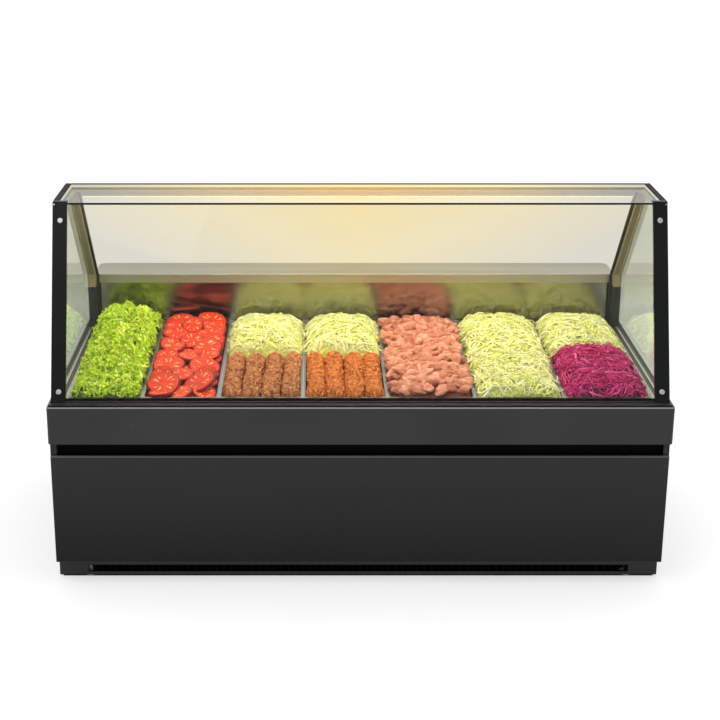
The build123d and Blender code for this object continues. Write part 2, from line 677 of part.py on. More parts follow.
def pipes():
    """Discharge, liquid and suction lines between compressor, condenser and evaporator."""
    port_y = FRONT + 700
    left, right = PORT_X
    discharge = [(STUB_X, COMP_Y + 20, 220), (-750, COMP_Y + 20, 220), (-750, COND_TUBES[0], 220),
                 (COND_END, COND_TUBES[0], 220)]
    liquid = [(COND_END, COND_TUBES[1], 340), (left, COND_TUBES[1], 340), (left, port_y, 340),
              (left, port_y, EVAP_ROWS[1]), (left, EVAP_TUBES[0], EVAP_ROWS[1]),
              (EVAP_END, EVAP_TUBES[0], EVAP_ROWS[1])]
    suction = [(STUB_X, COMP_Y, 190), (right, COMP_Y, 190), (right, COMP_Y, 370),
               (right, port_y, 370), (right, port_y, EVAP_ROWS[0]),
               (right, EVAP_TUBES[1], EVAP_ROWS[0]), (EVAP_END, EVAP_TUBES[1], EVAP_ROWS[0])]
    save("refrigerant_pipes", pipe(discharge), pipe(liquid), pipe(suction))


# ---------------------------------------------------------------- canopy

def front_posts():
    """Sloping front posts that clamp the front glass."""
    low, high = DECK_Z, HEIGHT
    points = [
        (front_line(low), low), (front_line(high), high),
        (front_line(high, POST_T), high), (front_line(low, POST_T), low),
    ]
    post = profile(points, POST_IN, POST_OUT)
    for x, along in SCREW_PLACES:
        post -= screw_at(x, along, 2.6, -12, 1)
    save("front_posts", post, mirrored(post))


SCREW_PLACES = [(965, 0.055), (965, 0.905)]


def screw_at(x, along, radius, depth, proud):
    """Rod square to the sloping front plane, from a depth to a proud height."""
    z = DECK_Z + along * (HEIGHT - DECK_Z)
    lean = math.degrees(math.atan2(POST_HEAD_Y - POST_FOOT_Y, HEIGHT - DECK_Z))
    place = Pos(x, front_line(z), z) * Rot(90 - lean, 0, 0)
    length = proud - depth
    return place * Pos(0, 0, (proud + depth) / 2) * Cylinder(radius, length)


def post_screws():
    """Dome-headed socket screws in the front posts, and a small stud at each head."""
    screws = []
    for x, along in SCREW_PLACES:
        head = screw_at(x, along, 9.5, 0, 5)
        head = fillet(head.edges().filter_by(GeomType.CIRCLE).sort_by(Axis.Y)[0], 4)
        screw = head + screw_at(x, along, 2.5, -11, 1) - screw_at(x, along, 2.8, 2, 6)
        screws += [screw, mirrored(screw)]
    stud = screw_at(985, 0.985, 2.2, 0, 1.2)
    screws += [stud, mirrored(stud)]
    save("post_screws", *screws)


def rear_posts():
    """Rear posts: a sloping bar that widens into an upright plate at the worktop."""
    bend = 817
    points = [
        (rear_line(RAIL_LOW), RAIL_LOW), (rear_line(bend), bend), (FRONT + 920, DECK_Z),
        (POST_BASE, DECK_Z), (POST_BASE, 836), (rear_line(RAIL_LOW, 30), RAIL_LOW),
    ]
    post = profile(points, REAR_POST_IN, REAR_POST_OUT)
    save("rear_posts", post, mirrored(post))


def top_frame():
    """Side rails and rear rail round the top glass."""
    head = front_line(RAIL_LOW, POST_T) + 1
    head_top = front_line(HEIGHT, POST_T) + 1
    points = [(head, RAIL_LOW), (head_top, HEIGHT), (RAIL_REAR, HEIGHT), (RAIL_REAR, RAIL_LOW)]
    rail = profile(points, RAIL_IN, POST_OUT)
    lip = TOP_GLASS_Z - GLASS_T
    rail += block(RAIL_IN - 10, RAIL_IN, head_top, RAIL_REAR - 60, RAIL_LOW, lip)
    rail -= block(970, 972, head_top - 40, RAIL_REAR + 1, HEIGHT - 1, HEIGHT + 1)
    rear = block(-RAIL_IN, RAIL_IN, RAIL_REAR - 60, RAIL_REAR, RAIL_LOW, HEIGHT)
    save("top_frame", rail, mirrored(rail), rear)


def front_glass():
    """Sloping front pane between the posts."""
    low, high = DECK_Z + 5, TOP_GLASS_Z - GLASS_T - 1
    near, far = 4, 4 + GLASS_T
    points = [
        (front_line(low, near), low), (front_line(high, near), high),
        (front_line(high, far), high), (front_line(low, far), low),
    ]
    save("front_glass", profile(points, -POST_IN + 0.5, POST_IN - 0.5))


def side_outline(inset, low):
    """Outline of the side pane: five corners inside the posts and the top rail."""
    back = POST_T + 1 + inset
    high = RAIL_LOW - 0.5 - inset
    return [
        (front_line(low, back), low), (front_line(high, back), high),
        (rear_line(high, 30.5 + inset), high), (POST_BASE - 0.5 - inset, 836),
        (POST_BASE - 0.5 - inset, low),
    ]


def side_glass():
    """Side panes between the front and rear posts."""
    pane = profile(side_outline(0, DECK_Z + 3), GLASS_IN, GLASS_IN + GLASS_T)
    save("side_glass", pane, mirrored(pane))


def top_glass():
    """Flat pane on the lips of the side rails, flush with the head of the front glass."""
    y0, y1 = front_line(TOP_GLASS_Z, 0) - 2, RAIL_REAR - 60.5
    lip = TOP_GLASS_Z - GLASS_T
    pane = block(-POST_IN + 0.5, POST_IN - 0.5, y0, y1, lip + 0.2, TOP_GLASS_Z)
    head_top = front_line(HEIGHT, POST_T) + 2
    pane += block(-RAIL_IN + 0.5, RAIL_IN - 0.5, head_top, y1, lip + 0.2, TOP_GLASS_Z)
    save("top_glass", pane)


def led():
    """Lamp housing under the rear rail, with its diffuser."""
    y0, y1 = RAIL_REAR - 56, RAIL_REAR - 8
    housing = block(-930, 930, y0, y1, RAIL_LOW - 14, RAIL_LOW)
    housing -= block(-928, 928, y0 + 2, y1 - 2, RAIL_LOW - 15, RAIL_LOW - 3)
    save("led_housing", housing)
    save("led_diffuser", block(-927.5, 927.5, y0 + 2.5, y1 - 2.5, RAIL_LOW - 16, RAIL_LOW - 6))


def glass_seals():
    """Seals under the front and side glass and along the rear posts."""
    y0, y1 = front_line(DECK_Z, 2), front_line(DECK_Z, 12)
    seals = [block(-POST_IN + 1, POST_IN - 1, y0, y1, DECK_Z, DECK_Z + 4.5)]
    start = front_line(DECK_Z + 3, POST_T + 1)
    foot = block(GLASS_IN - 0.8, GLASS_IN + GLASS_T + 1.2, start, POST_BASE - 1, DECK_Z, DECK_Z + 2.8)
    points = [
        (rear_line(RAIL_LOW - 1, 2), RAIL_LOW - 1), (rear_line(817, 2), 817),
        (FRONT + 918, DECK_Z + 4), (FRONT + 904, DECK_Z + 4), (FRONT + 904, 821),
        (rear_line(RAIL_LOW - 1, 15), RAIL_LOW - 1),
    ]
    strip = profile(points, REAR_POST_IN - 8, REAR_POST_IN)
    for solid in (foot, strip):
        seals += [solid, mirrored(solid)]
    save("glass_seals", *seals)


def main():
    """Writes every sub-part."""
    os.makedirs("parts", exist_ok=True)
    base_frame()
    kick_plates()
    intake_grille()
    levelling_feet()
    end_panels()
    front_panel()
    gap_channel()
    fascia()
    deck_trim()
    well_liner()
    support_bars()
    for number in range(1, PANS + 1):
        pan(number)
    fills()
    rear_upstand()
    worktop()
    storage_liner()
    rear_frame()
    service_panel()
    cable_gland()
    control_panel()
    rocker("power_switch", SWITCH_X[0])
    rocker("light_switch", SWITCH_X[1])
    thermostat_knob()
    doors()
    hinge_pins()
    shrouds()
    finned_coil("condenser_coil", COND_SPAN, (FRONT + 600, FRONT + 650), (120, 360), 34, 6)
    finned_coil("evaporator_coil", (-EVAP_HALF, EVAP_HALF), (FRONT + 320, FRONT + 380), (455, 525), 60, 2)
    compressor()
    pipes()
    front_posts()
    post_screws()
    rear_posts()
    top_frame()
    front_glass()
    side_glass()
    top_glass()
    led()
    glass_seals()


main()
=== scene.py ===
import math

import bmesh
import bpy
import numpy as np
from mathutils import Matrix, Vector, noise


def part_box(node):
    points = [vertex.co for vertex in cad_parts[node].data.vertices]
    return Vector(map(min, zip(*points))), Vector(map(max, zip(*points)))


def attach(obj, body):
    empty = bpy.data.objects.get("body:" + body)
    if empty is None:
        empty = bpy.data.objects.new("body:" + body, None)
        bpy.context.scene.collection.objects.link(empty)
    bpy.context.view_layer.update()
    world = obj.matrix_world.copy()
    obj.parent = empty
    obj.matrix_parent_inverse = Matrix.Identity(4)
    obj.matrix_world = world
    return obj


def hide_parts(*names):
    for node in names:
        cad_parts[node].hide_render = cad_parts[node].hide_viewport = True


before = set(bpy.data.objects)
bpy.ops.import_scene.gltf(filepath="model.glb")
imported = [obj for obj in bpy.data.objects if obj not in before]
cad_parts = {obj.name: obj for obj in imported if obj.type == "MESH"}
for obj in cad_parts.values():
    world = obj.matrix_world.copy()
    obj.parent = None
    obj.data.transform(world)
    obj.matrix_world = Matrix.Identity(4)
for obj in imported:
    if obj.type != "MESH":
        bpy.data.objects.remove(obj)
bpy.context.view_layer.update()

# Metres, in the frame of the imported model: +X along the case, +Y to the server, +Z up.
MM = 0.001
SEED = 20
PANS = 7
FLOOR_X = (-30, 30)
FLOOR_Y = (-12, 45)
# Footprint of the painted shadow on the floor under the case.
SHADOW_UNDER_CASE_X = (-0.99, 0.99)
SHADOW_UNDER_CASE_Y = (-0.445, 0.485)
# Heights above which a painted highlight brightens the front panel's and the fascia's top edges.
PANEL_HIGHLIGHT_FROM = 0.4533
FASCIA_HIGHLIGHT_FROM = 0.6318
# Half width inside which the top frame carries the lamp's painted glow.
RAIL_GLOW_TO = 0.968
CANOPY_TOP = 1.24
# Height above which the front pane carries the lamp's painted glow.
GLASS_GLOW_FROM = 0.94
SHADOW_TINT = (0.93, 0.95, 0.93)
BED_STEPS = (40, 90)
STRIP_RINGS = 8
KEBAB_DEPTH = 0.415
RED_CABBAGE_DEPTH = 0.40
ROLLS_PER_PAN = 4
SLICE_R = 0.045
SLICE_T = 0.010
SLICE_ROWS = 9
SLICE_END = 0.044
LEAVES = 1900
LETTUCE_SHREDS = 2600
CHICKEN_PIECES = 175
CHICKEN_APART = 0.027
CHICKEN_SIZE = ((0.024, 0.036), (0.018, 0.026), (0.012, 0.017))
# Shortest, longest, narrowest and widest strip, and its thickness.
LETTUCE_STRIP = (0.022, 0.060, 0.003, 0.008, 0.0009)
CABBAGE_STRIP = (0.045, 0.105, 0.0032, 0.0062, 0.0013)
GARNISH_STRIP = (0.04, 0.09, 0.0030, 0.0056, 0.0013)
# Rise of each heap above the rim in mm, at even steps from front to rear.
RISES = {
    "lettuce": [2, 26, 44, 60, 72, 68, 28], "tomato": [-12, -8, -4, -2, -2, -2, -10],
    "garnish": [18, 30, 34, 34, 26, 12], "chicken": [-8, 8, 14, 18, 20, 16, 0],
    "cabbage": [4, 18, 26, 34, 38, 34, 14], "red_cabbage": [6, 20, 28, 32, 34, 30],
    "rear_cabbage": [30, 36, 40, 40, 30, 14],
}
# How far loose food may hang over its pan's rim, and what it clears of the rim as it does.
HANG_LEFT, HANG_RIGHT, HANG_FRONT, HANG_REAR = 0.011, 0.009, 0.004, 0.006
HANG_FROM = 0.004
GLASS_LEAN, LEAN_FROM = 0.6, 0.008
FILLS = {
    1: "lettuce_fill", 2: "tomato_fill", 3: "kebab_rolls_3", 4: "kebab_rolls_4",
    5: "chicken_fill", 6: "cabbage_fill", 7: "red_cabbage_fill",
}


# ---------------------------------------------------------------- camera, light and floor

def set_camera():
    """Camera at a standing customer's eye, a little left of the middle, looking down."""
    data = bpy.data.cameras.new("camera")
    data.sensor_width = 36
    data.lens = 77.65
    data.shift_x = 0.0625
    camera = bpy.data.objects.new("camera", data)
    camera.location = (-0.145, -5.164, 2.3425)
    camera.rotation_euler = (math.radians(71.5), 0, 0)
    bpy.context.scene.collection.objects.link(camera)
    bpy.context.scene.camera = camera


def area_light(name, place, aim, size, power, colour=(1, 1, 1)):
    """Soft rectangular lamp at a place, turned towards an aim."""
    data = bpy.data.lights.new(name, "AREA")
    data.shape = "RECTANGLE"
    data.size, data.size_y = size
    data.energy = power
    data.color = colour
    lamp = bpy.data.objects.new(name, data)
    lamp.location = place
    turn = Vector(aim) - Vector(place)
    lamp.rotation_euler = turn.to_track_quat("-Z", "Y").to_euler()
    bpy.context.scene.collection.objects.link(lamp)


def set_stage():
    """White world, soft lamps, a warm lamp in the canopy and a pale floor."""
    world = bpy.data.worlds.new("studio")
    world.use_nodes = True
    world.node_tree.nodes["Background"].inputs["Color"].default_value = (1, 1, 1, 1)
    world.node_tree.nodes["Background"].inputs["Strength"].default_value = 1.0
    bpy.context.scene.world = world
    bpy.context.scene.view_settings.view_transform = "Standard"
    area_light("key", (-1.6, -2.6, 3.4), (0, 0, 0.7), (2.4, 1.6), 22)
    area_light("top", (0.6, 0.2, 3.2), (0, 0, 0.6), (2.6, 1.4), 18)
    low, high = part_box("led_diffuser")
    middle = (low + high) / 2
    place = (middle[0], middle[1], low[2] - 0.004)
    aim = (middle[0], middle[1] - 0.12, 0)
    area_light("canopy_lamp", place, aim, (1.75, 0.03), 5, (1.0, 0.86, 0.62))
    floor = mesh_object("floor", *grid_surface(*FLOOR_X, *FLOOR_Y, 2, 2, lambda x, y: 0.0 * x))
    floor.data.materials.append(floor_material())


# ---------------------------------------------------------------- mesh helpers

def mesh_object(name, points, faces):
    """Smooth-shaded mesh object from points and faces, linked to the scene."""
    mesh = bpy.data.meshes.new(name)
    mesh.from_pydata([tuple(p) for p in points], [], [tuple(f) for f in faces])
    mesh.validate()
    mesh.polygons.foreach_set("use_smooth", [True] * len(mesh.polygons))
    mesh.update()
    piece = bpy.data.objects.new(name, mesh)
    bpy.context.scene.collection.objects.link(piece)
    return piece


def grid_surface(x0, x1, y0, y1, nx, ny, height):
    """Points and faces of a height field over a rectangle."""
    xs, ys = np.meshgrid(np.linspace(x0, x1, nx), np.linspace(y0, y1, ny))
    points = np.stack([xs, ys, height(xs, ys)], axis=-1).reshape(-1, 3)
    corner = (np.arange(ny - 1)[:, None] * nx + np.arange(nx - 1)).ravel()
    faces = np.stack([corner, corner + 1, corner + nx + 1, corner + nx], axis=-1)
    return points, faces


def closed_grid(x0, x1, y0, y1, nx, ny, height, base):
    """A height field closed by a flat underside and four walls."""
    points, faces = grid_surface(x0, x1, y0, y1, nx, ny, height)
    under = points.copy()
    under[:, 2] = base
    count = len(points)
    edge = [range(nx), range(nx - 1, nx * ny, nx), range(nx * ny - 1, nx * (ny - 1) - 1, -1),
            range(nx * (ny - 1), -1, -nx)]
    loop = []
    for side in edge:
        loop += list(side)[:-1]
    walls = [(loop[i - 1], loop[i - 1] + count, loop[i] + count, loop[i]) for i in range(len(loop))]
    lower = faces[:, ::-1] + count
    return np.vstack([points, under]), [*map(tuple, faces), *map(tuple, lower), *walls]


def ribbons(name, rng, centres, heading, length, width, thick, height, limits, lift, roll, curl=0.8):
    """Many thin curved strips lying on a height field, as one mesh.

    heading, length, width, lift and roll hold one value for each strip. thick and curl, how much
    the strips bend in plan, hold for all.
    """
    count = len(centres)
    rings = STRIP_RINGS
    s = np.linspace(-0.5, 0.5, rings)[None, :] * length[:, None]
    bend = rng.normal(0, 1.0, count)[:, None] * s / length[:, None] * curl
    wiggle = 0.2 * curl * np.sin(s / length[:, None] * 6 + rng.uniform(0, 6, count)[:, None])
    angle = heading[:, None] + bend + wiggle
    step = length[:, None] / (rings - 1)
    dx, dy = np.cos(angle) * step, np.sin(angle) * step
    x = centres[:, :1] + np.cumsum(dx, axis=1) - dx.sum(axis=1, keepdims=True) / 2
    y = centres[:, 1:] + np.cumsum(dy, axis=1) - dy.sum(axis=1, keepdims=True) / 2
    x0, x1, y0, y1 = limits
    x, y = np.clip(x, x0, x1), np.clip(y, y0, y1)
    wave = 0.0025 * np.sin(s / length[:, None] * 7 + rng.uniform(0, 6, count)[:, None])
    tilt = rng.normal(0, 0.12, count)[:, None] * s
    z = height(x, y) + lift[:, None] + wave + np.clip(tilt, -0.003, 0.012)
    path = np.stack([x, y, z], axis=-1)
    along = np.gradient(path, axis=1)
    along /= np.linalg.norm(along, axis=-1, keepdims=True) + 1e-9
    up = np.array([0.0, 0.0, 1.0])
    side = np.cross(along, up)
    side /= np.linalg.norm(side, axis=-1, keepdims=True) + 1e-9
    normal = np.cross(side, along)
    turn = roll[:, None] + 0.8 * np.sin(s / length[:, None] * 4 + rng.uniform(0, 6, count)[:, None])
    turn = turn[..., None]
    wide = side * np.cos(turn) + normal * np.sin(turn)
    flat = normal * np.cos(turn) - side * np.sin(turn)
    taper = np.sqrt(np.clip(1 - (2.02 * s / length[:, None]) ** 6, 0.05, 1))[..., None]
    half_w = width[:, None, None] / 2 * taper
    half_t = thick / 2
    corners = [path + wide * half_w + flat * half_t, path - wide * half_w + flat * half_t,
               path - wide * half_w - flat * half_t, path + wide * half_w - flat * half_t]
    points = np.stack(corners, axis=2).reshape(-1, 3)
    ring = np.arange(rings - 1)[:, None, None] * 4
    k = np.arange(4)[None, :, None]
    quad = np.stack([ring + k, ring + (k + 1) % 4, ring + 4 + (k + 1) % 4, ring + 4 + k], axis=-1)
    quad = quad.reshape(-1, 4)
    last = (rings - 1) * 4
    quad = np.vstack([quad, [[3, 2, 1, 0]], [[last, last + 1, last + 2, last + 3]]])
    faces = (quad[None] + (np.arange(count) * rings * 4)[:, None, None]).reshape(-1, 4)
    piece = mesh_object(name, points, faces)
    tone = np.repeat(rng.uniform(0, 1, count), rings * 4)
    set_tone(piece, tone)
    return piece


def set_tone(piece, values):
    """Stores one number for each vertex, which the food materials vary their colour by."""
    store = piece.data.attributes.new("tone", "FLOAT", "POINT")
    store.data.foreach_set("value", np.asarray(values, dtype=np.float32))


def join_parts(name, parts):
    """One mesh from a list of (points, faces, tones)."""
    points, faces, tones, offset = [], [], [], 0
    for part_points, part_faces, tone in parts:
        points.append(part_points)
        faces += [tuple(int(i) + offset for i in face) for face in part_faces]
        tones.append(np.broadcast_to(tone, len(part_points)))
        offset += len(part_points)
    piece = mesh_object(name, np.vstack(points), faces)
    set_tone(piece, np.concatenate(tones))
    return piece


# ---------------------------------------------------------------- material helpers

class Nodes:
    """Short calls for building a node material."""

    def __init__(self, name):
        self.material = bpy.data.materials.new(name)
        self.material.use_nodes = True
        self.tree = self.material.node_tree
        self.shader = self.tree.nodes["Principled BSDF"]

    def node(self, kind, **settings):
        """New node with its settings."""
        made = self.tree.nodes.new(kind)
        for key, value in settings.items():
            setattr(made, key, value)
        return made

    def link(self, source, target):
        """Joins an output to an input."""
        self.tree.links.new(source, target)

    def put(self, socket, value):
        """Sets a socket, or links it where the value is an output."""
        if isinstance(value, bpy.types.NodeSocket):
            self.link(value, socket)
        else:
            socket.default_value = value

    def math(self, operation, a, b=0.0, clamp=False):
        """Math node on two values."""
        made = self.node("ShaderNodeMath", operation=operation, use_clamp=clamp)
        self.put(made.inputs[0], a)
        self.put(made.inputs[1], b)
        return made.outputs[0]

    def place(self, stretch=(1, 1, 1)):
        """Object coordinates, stretched."""
        source = self.node("ShaderNodeTexCoord")
        scale = self.node("ShaderNodeMapping")
        scale.inputs["Scale"].default_value = stretch
        self.link(source.outputs["Object"], scale.inputs["Vector"])
        return scale.outputs[0]

    def axes(self):
        """X, Y and Z of the object coordinates."""
        split = self.node("ShaderNodeSeparateXYZ")
        self.link(self.place(), split.inputs[0])
        return split.outputs

    def between(self, value, low, high):
        """One inside a range of values, otherwise zero."""
        above = self.math("GREATER_THAN", value, low)
        return self.math("MULTIPLY", above, self.math("LESS_THAN", value, high))

    def noise(self, scale, detail=3.0, stretch=(1, 1, 1), rough=0.5):
        """Noise over object coordinates."""
        made = self.node("ShaderNodeTexNoise")
        made.inputs["Scale"].default_value = scale
        made.inputs["Detail"].default_value = detail
        made.inputs["Roughness"].default_value = rough
        self.link(self.place(stretch), made.inputs["Vector"])
        return made.outputs["Fac"]

    def cells(self, scale, stretch=(1, 1, 1)):
        """Distance to the nearest point of a Voronoi pattern."""
        made = self.node("ShaderNodeTexVoronoi")
        made.inputs["Scale"].default_value = scale
        self.link(self.place(stretch), made.inputs["Vector"])
        return made.outputs["Distance"]

    def ramp(self, value, *stops):
        """Colour ramp with (position, colour) stops."""
        made = self.node("ShaderNodeValToRGB")
        steps = made.color_ramp.elements
        while len(steps) < len(stops):
            steps.new(0.5)
        for step, (position, colour) in zip(steps, stops):
            step.position = position
            step.color = (*colour, 1)
        self.put(made.inputs["Fac"], value)
        return made.outputs["Color"]

    def spread(self, value, low, high):
        """Maps 0..1 onto a range."""
        made = self.node("ShaderNodeMapRange")
        self.put(made.inputs["Value"], value)
        made.inputs["To Min"].default_value = low
        made.inputs["To Max"].default_value = high
        return made.outputs[0]

    def mix(self, share, a, b):
        """Mixes two colours."""
        made = self.node("ShaderNodeMix", data_type="RGBA")
        self.put(made.inputs["Factor"], share)
        self.put(made.inputs[6], a if isinstance(a, bpy.types.NodeSocket) else (*a, 1))
        self.put(made.inputs[7], b if isinstance(b, bpy.types.NodeSocket) else (*b, 1))
        return made.outputs[2]

    def bump(self, height, strength, distance):
        """Bump into the shader's normal."""
        made = self.node("ShaderNodeBump")
        made.inputs["Strength"].default_value = strength
        made.inputs["Distance"].default_value = distance
        self.link(height, made.inputs["Height"])
        self.link(made.outputs[0], self.shader.inputs["Normal"])

    def tone(self):
        """The number stored for each vertex."""
        return self.node("ShaderNodeAttribute", attribute_name="tone").outputs["Fac"]

    def set(self, **values):
        """Sets the shader's sockets by name, with underscores for spaces."""
        for key, value in values.items():
            self.put(self.shader.inputs[key.replace("_", " ")], value)


def rgb(red, green, blue):
    """Linear colour from display values of 0 to 255."""
    def linear(value):
        value /= 255
        return value / 12.92 if value <= 0.04045 else ((value + 0.055) / 1.055) ** 2.4
    return linear(red), linear(green), linear(blue)


# ---------------------------------------------------------------- materials

def floor_material():
    """Matt pale floor that glows a little, with a painted shadow: dark and unlit under the case."""
    n = Nodes("floor_white")
    across, along, _ = n.axes()
    # Painted shadow: under the case the floor is dark and does not glow.
    under = n.math("MULTIPLY", n.between(across, *SHADOW_UNDER_CASE_X), n.between(along, *SHADOW_UNDER_CASE_Y))
    pale = n.ramp(n.noise(2.0), (0, (0.48, 0.48, 0.48)), (1, (0.52, 0.52, 0.52)))
    n.set(Base_Color=n.mix(under, pale, (0.01, 0.01, 0.01)), Roughness=0.9, Specular_IOR_Level=0.0)
    glow = n.mix(under, (1, 1, 1), (0, 0, 0))
    n.set(Emission_Color=glow, Emission_Strength=0.55)
    return n.material


def coated_metal(name, dark, light, rough=(0.3, 0.42), shine=0.25, edge=None):
    """Powder-coated sheet: slight cloudiness, orange peel and fine grain.

    edge is the height above which a painted highlight brightens the coat, and the highlight's colour.
    """
    n = Nodes(name)
    colour = n.ramp(n.noise(3.0, 4.0), (0.3, dark), (0.7, light))
    if edge:
        # Painted highlight: the coat is lighter above edge[0].
        colour = n.mix(n.math("GREATER_THAN", n.axes()[2], edge[0]), colour, edge[1])
    n.set(Base_Color=colour, Specular_IOR_Level=shine)
    n.set(Roughness=n.spread(n.noise(27.0, 5.0), *rough))
    n.bump(n.math("ADD", n.noise(900, 2.0), n.noise(130, 2.0)), 0.12, 0.0004)
    return n.material


def shaded_coat(name, low, high, edge):
    """Black coat with painted shade, darker towards the floor, and a painted highlight along its top edge as
    coated_metal has it.
    """
    n = Nodes(name)
    height = n.axes()[2]
    # Painted shade: the coat darkens towards the floor.
    share = n.math("MULTIPLY", height, 2.2)
    share = n.math("ADD", share, n.math("MULTIPLY", n.noise(3.0, 4.0), 0.15), clamp=True)
    colour = n.ramp(share, (0.25, low), (1.0, high))
    # Painted highlight: the coat is lighter above edge[0].
    n.set(Base_Color=n.mix(n.math("GREATER_THAN", height, edge[0]), colour, edge[1]), Specular_IOR_Level=0.2)
    n.set(Roughness=n.spread(n.noise(27.0, 5.0), 0.3, 0.42))
    n.bump(n.noise(900, 2.0), 0.1, 0.0004)
    return n.material


def rail_coat():
    """Black top frame, with a painted warm glow of the canopy lamp inside it and on its glazed top."""
    n = Nodes("rail_coat")
    across, along, _ = n.axes()
    side = n.math("ABSOLUTE", across)
    # Painted light: the lamp's warm glow on the inner faces, strongest over the middle, greyer towards the
    # ends.
    lamp_glow = n.math("MULTIPLY", n.math("LESS_THAN", side, RAIL_GLOW_TO),
                   n.math("LESS_THAN", along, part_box("top_frame")[1][1] - 22 * MM))
    black = n.ramp(n.noise(3.0, 4.0), (0.3, (0.003, 0.004, 0.004)), (0.7, (0.006, 0.007, 0.007)))
    pale = n.ramp(side, (0.05, rgb(242, 212, 148)), (0.5, rgb(224, 208, 168)), (0.95, rgb(186, 184, 168)))
    n.set(Base_Color=n.mix(lamp_glow, black, pale), Roughness=n.spread(n.noise(27.0, 5.0), 0.45, 0.6))
    n.set(Specular_IOR_Level=0.08)
    n.bump(n.noise(900, 2.0), 0.1, 0.0004)
    return n.material


def brushed(name, dark, light, along, rough):
    """Brushed metal with its grain along X or Y."""
    n = Nodes(name)
    grain = n.noise(12, 6.0, {"X": (1, 60, 60), "Y": (60, 1, 60)}[along], 0.7)
    soft = n.noise(2.2, 3.0)
    n.set(Base_Color=n.ramp(n.math("ADD", n.math("MULTIPLY", grain, 0.6), n.math("MULTIPLY", soft, 0.4)),
                            (0.3, dark), (0.7, light)))
    n.set(Metallic=1.0, Roughness=n.spread(grain, *rough), Anisotropic=0.4)
    n.bump(grain, 0.06, 0.0003)
    return n.material


def clear_glass():
    """Front pane: nearly clear in front of the food, with a painted warm glow of the lamp near its head."""
    n = Nodes("front_pane")
    across, _, height = n.axes()
    # Painted light: the lamp's warm glow in the pane, strongest at the top middle and fading out lower down.
    reach = n.math("ADD", n.math("MULTIPLY", n.math("ABSOLUTE", across), 0.85),
                   n.math("MULTIPLY", n.math("SUBTRACT", CANOPY_TOP, height), 1.9))
    haze = n.math("MULTIPLY", n.noise(3.0, 3.0), 0.12)
    painted_glow = n.ramp(n.math("ADD", reach, haze, clamp=True), (0.0, rgb(239, 220, 162)),
                  (0.5, rgb(232, 221, 184)), (1.0, rgb(214, 211, 199)))
    share = n.math("MULTIPLY", n.math("SUBTRACT", height, GLASS_GLOW_FROM), 12.0, clamp=True)
    tint = n.mix(share, (0.95, 0.95, 0.90), painted_glow)
    foot = n.math("LESS_THAN", height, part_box("front_glass")[0][2] + 6 * MM)
    n.set(Base_Color=n.mix(foot, tint, (0.004, 0.004, 0.004)))
    n.set(Roughness=0.0, IOR=1.2, Transmission_Weight=1.0)
    let_lamps_through(n)
    return n.material


def side_pane():
    """Side panes with a slight green cast."""
    n = Nodes("side_pane")
    tint = n.ramp(n.noise(2.0), (0.3, rgb(214, 222, 208)), (0.7, rgb(222, 228, 216)))
    n.set(Base_Color=tint, Roughness=0.0, IOR=1.3, Transmission_Weight=1.0)
    let_lamps_through(n)
    return n.material


def top_pane():
    """Top pane: a painted warm glow of the lamp over its middle, grey at its ends, dark green at its front
    edge.
    """
    n = Nodes("top_pane")
    across, along, _ = n.axes()
    # Painted light: the lamp's warm glow, fading from the middle to the ends.
    reach = n.math("ADD", n.math("ABSOLUTE", across), n.math("MULTIPLY", n.noise(3.0, 3.0), 0.1))
    tint = n.ramp(reach, (0.05, rgb(252, 230, 168)), (0.5, rgb(240, 227, 190)), (0.95, rgb(204, 205, 194)))
    edge = n.math("LESS_THAN", along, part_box("top_glass")[0][1] + 2 * MM)
    n.set(Base_Color=n.mix(edge, tint, (0.01, 0.035, 0.022)))
    n.set(Roughness=0.0, IOR=1.2, Transmission_Weight=1.0)
    let_lamps_through(n)
    return n.material


def rear_post():
    """Rear post: beige alloy above the worktop, dark steel below it."""
    n = Nodes("rear_post")
    height = n.axes()[2]
    grain = n.noise(12, 6.0, (60, 60, 1), 0.7)
    alloy = n.ramp(grain, (0.3, rgb(150, 141, 112)), (0.7, rgb(172, 162, 132)))
    steel = n.ramp(grain, (0.3, (0.012, 0.018, 0.014)), (0.7, (0.03, 0.04, 0.032)))
    low = n.math("LESS_THAN", height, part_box("worktop")[0][2])
    n.set(Base_Color=n.mix(low, alloy, steel), Metallic=0.3, Roughness=n.spread(grain, 0.35, 0.5))
    n.bump(grain, 0.06, 0.0003)
    return n.material


def let_lamps_through(n):
    """Shadow rays pass the pane with a light tint."""
    output = n.tree.nodes["Material Output"]
    path = n.node("ShaderNodeLightPath")
    clear = n.node("ShaderNodeBsdfTransparent")
    clear.inputs["Color"].default_value = (*SHADOW_TINT, 1)
    pick = n.node("ShaderNodeMixShader")
    n.link(path.outputs["Is Shadow Ray"], pick.inputs[0])
    n.link(n.shader.outputs[0], pick.inputs[1])
    n.link(clear.outputs[0], pick.inputs[2])
    n.link(pick.outputs[0], output.inputs["Surface"])


def rubber():
    """Black seal rubber."""
    n = Nodes("seal_rubber")
    n.set(Base_Color=n.ramp(n.noise(60, 4.0), (0.3, (0.012, 0.011, 0.010)), (0.8, (0.03, 0.028, 0.026))))
    n.set(Roughness=n.spread(n.noise(200), 0.5, 0.75))
    n.bump(n.noise(800), 0.2, 0.0003)
    return n.material


def moulded(name, dark, light, rough=(0.35, 0.5)):
    """Moulded plastic with a fine texture."""
    n = Nodes(name)
    n.set(Base_Color=n.ramp(n.noise(25, 3.0), (0.3, dark), (0.75, light)))
    n.set(Roughness=n.spread(n.noise(120), *rough))
    n.bump(n.noise(1200), 0.12, 0.0003)
    return n.material


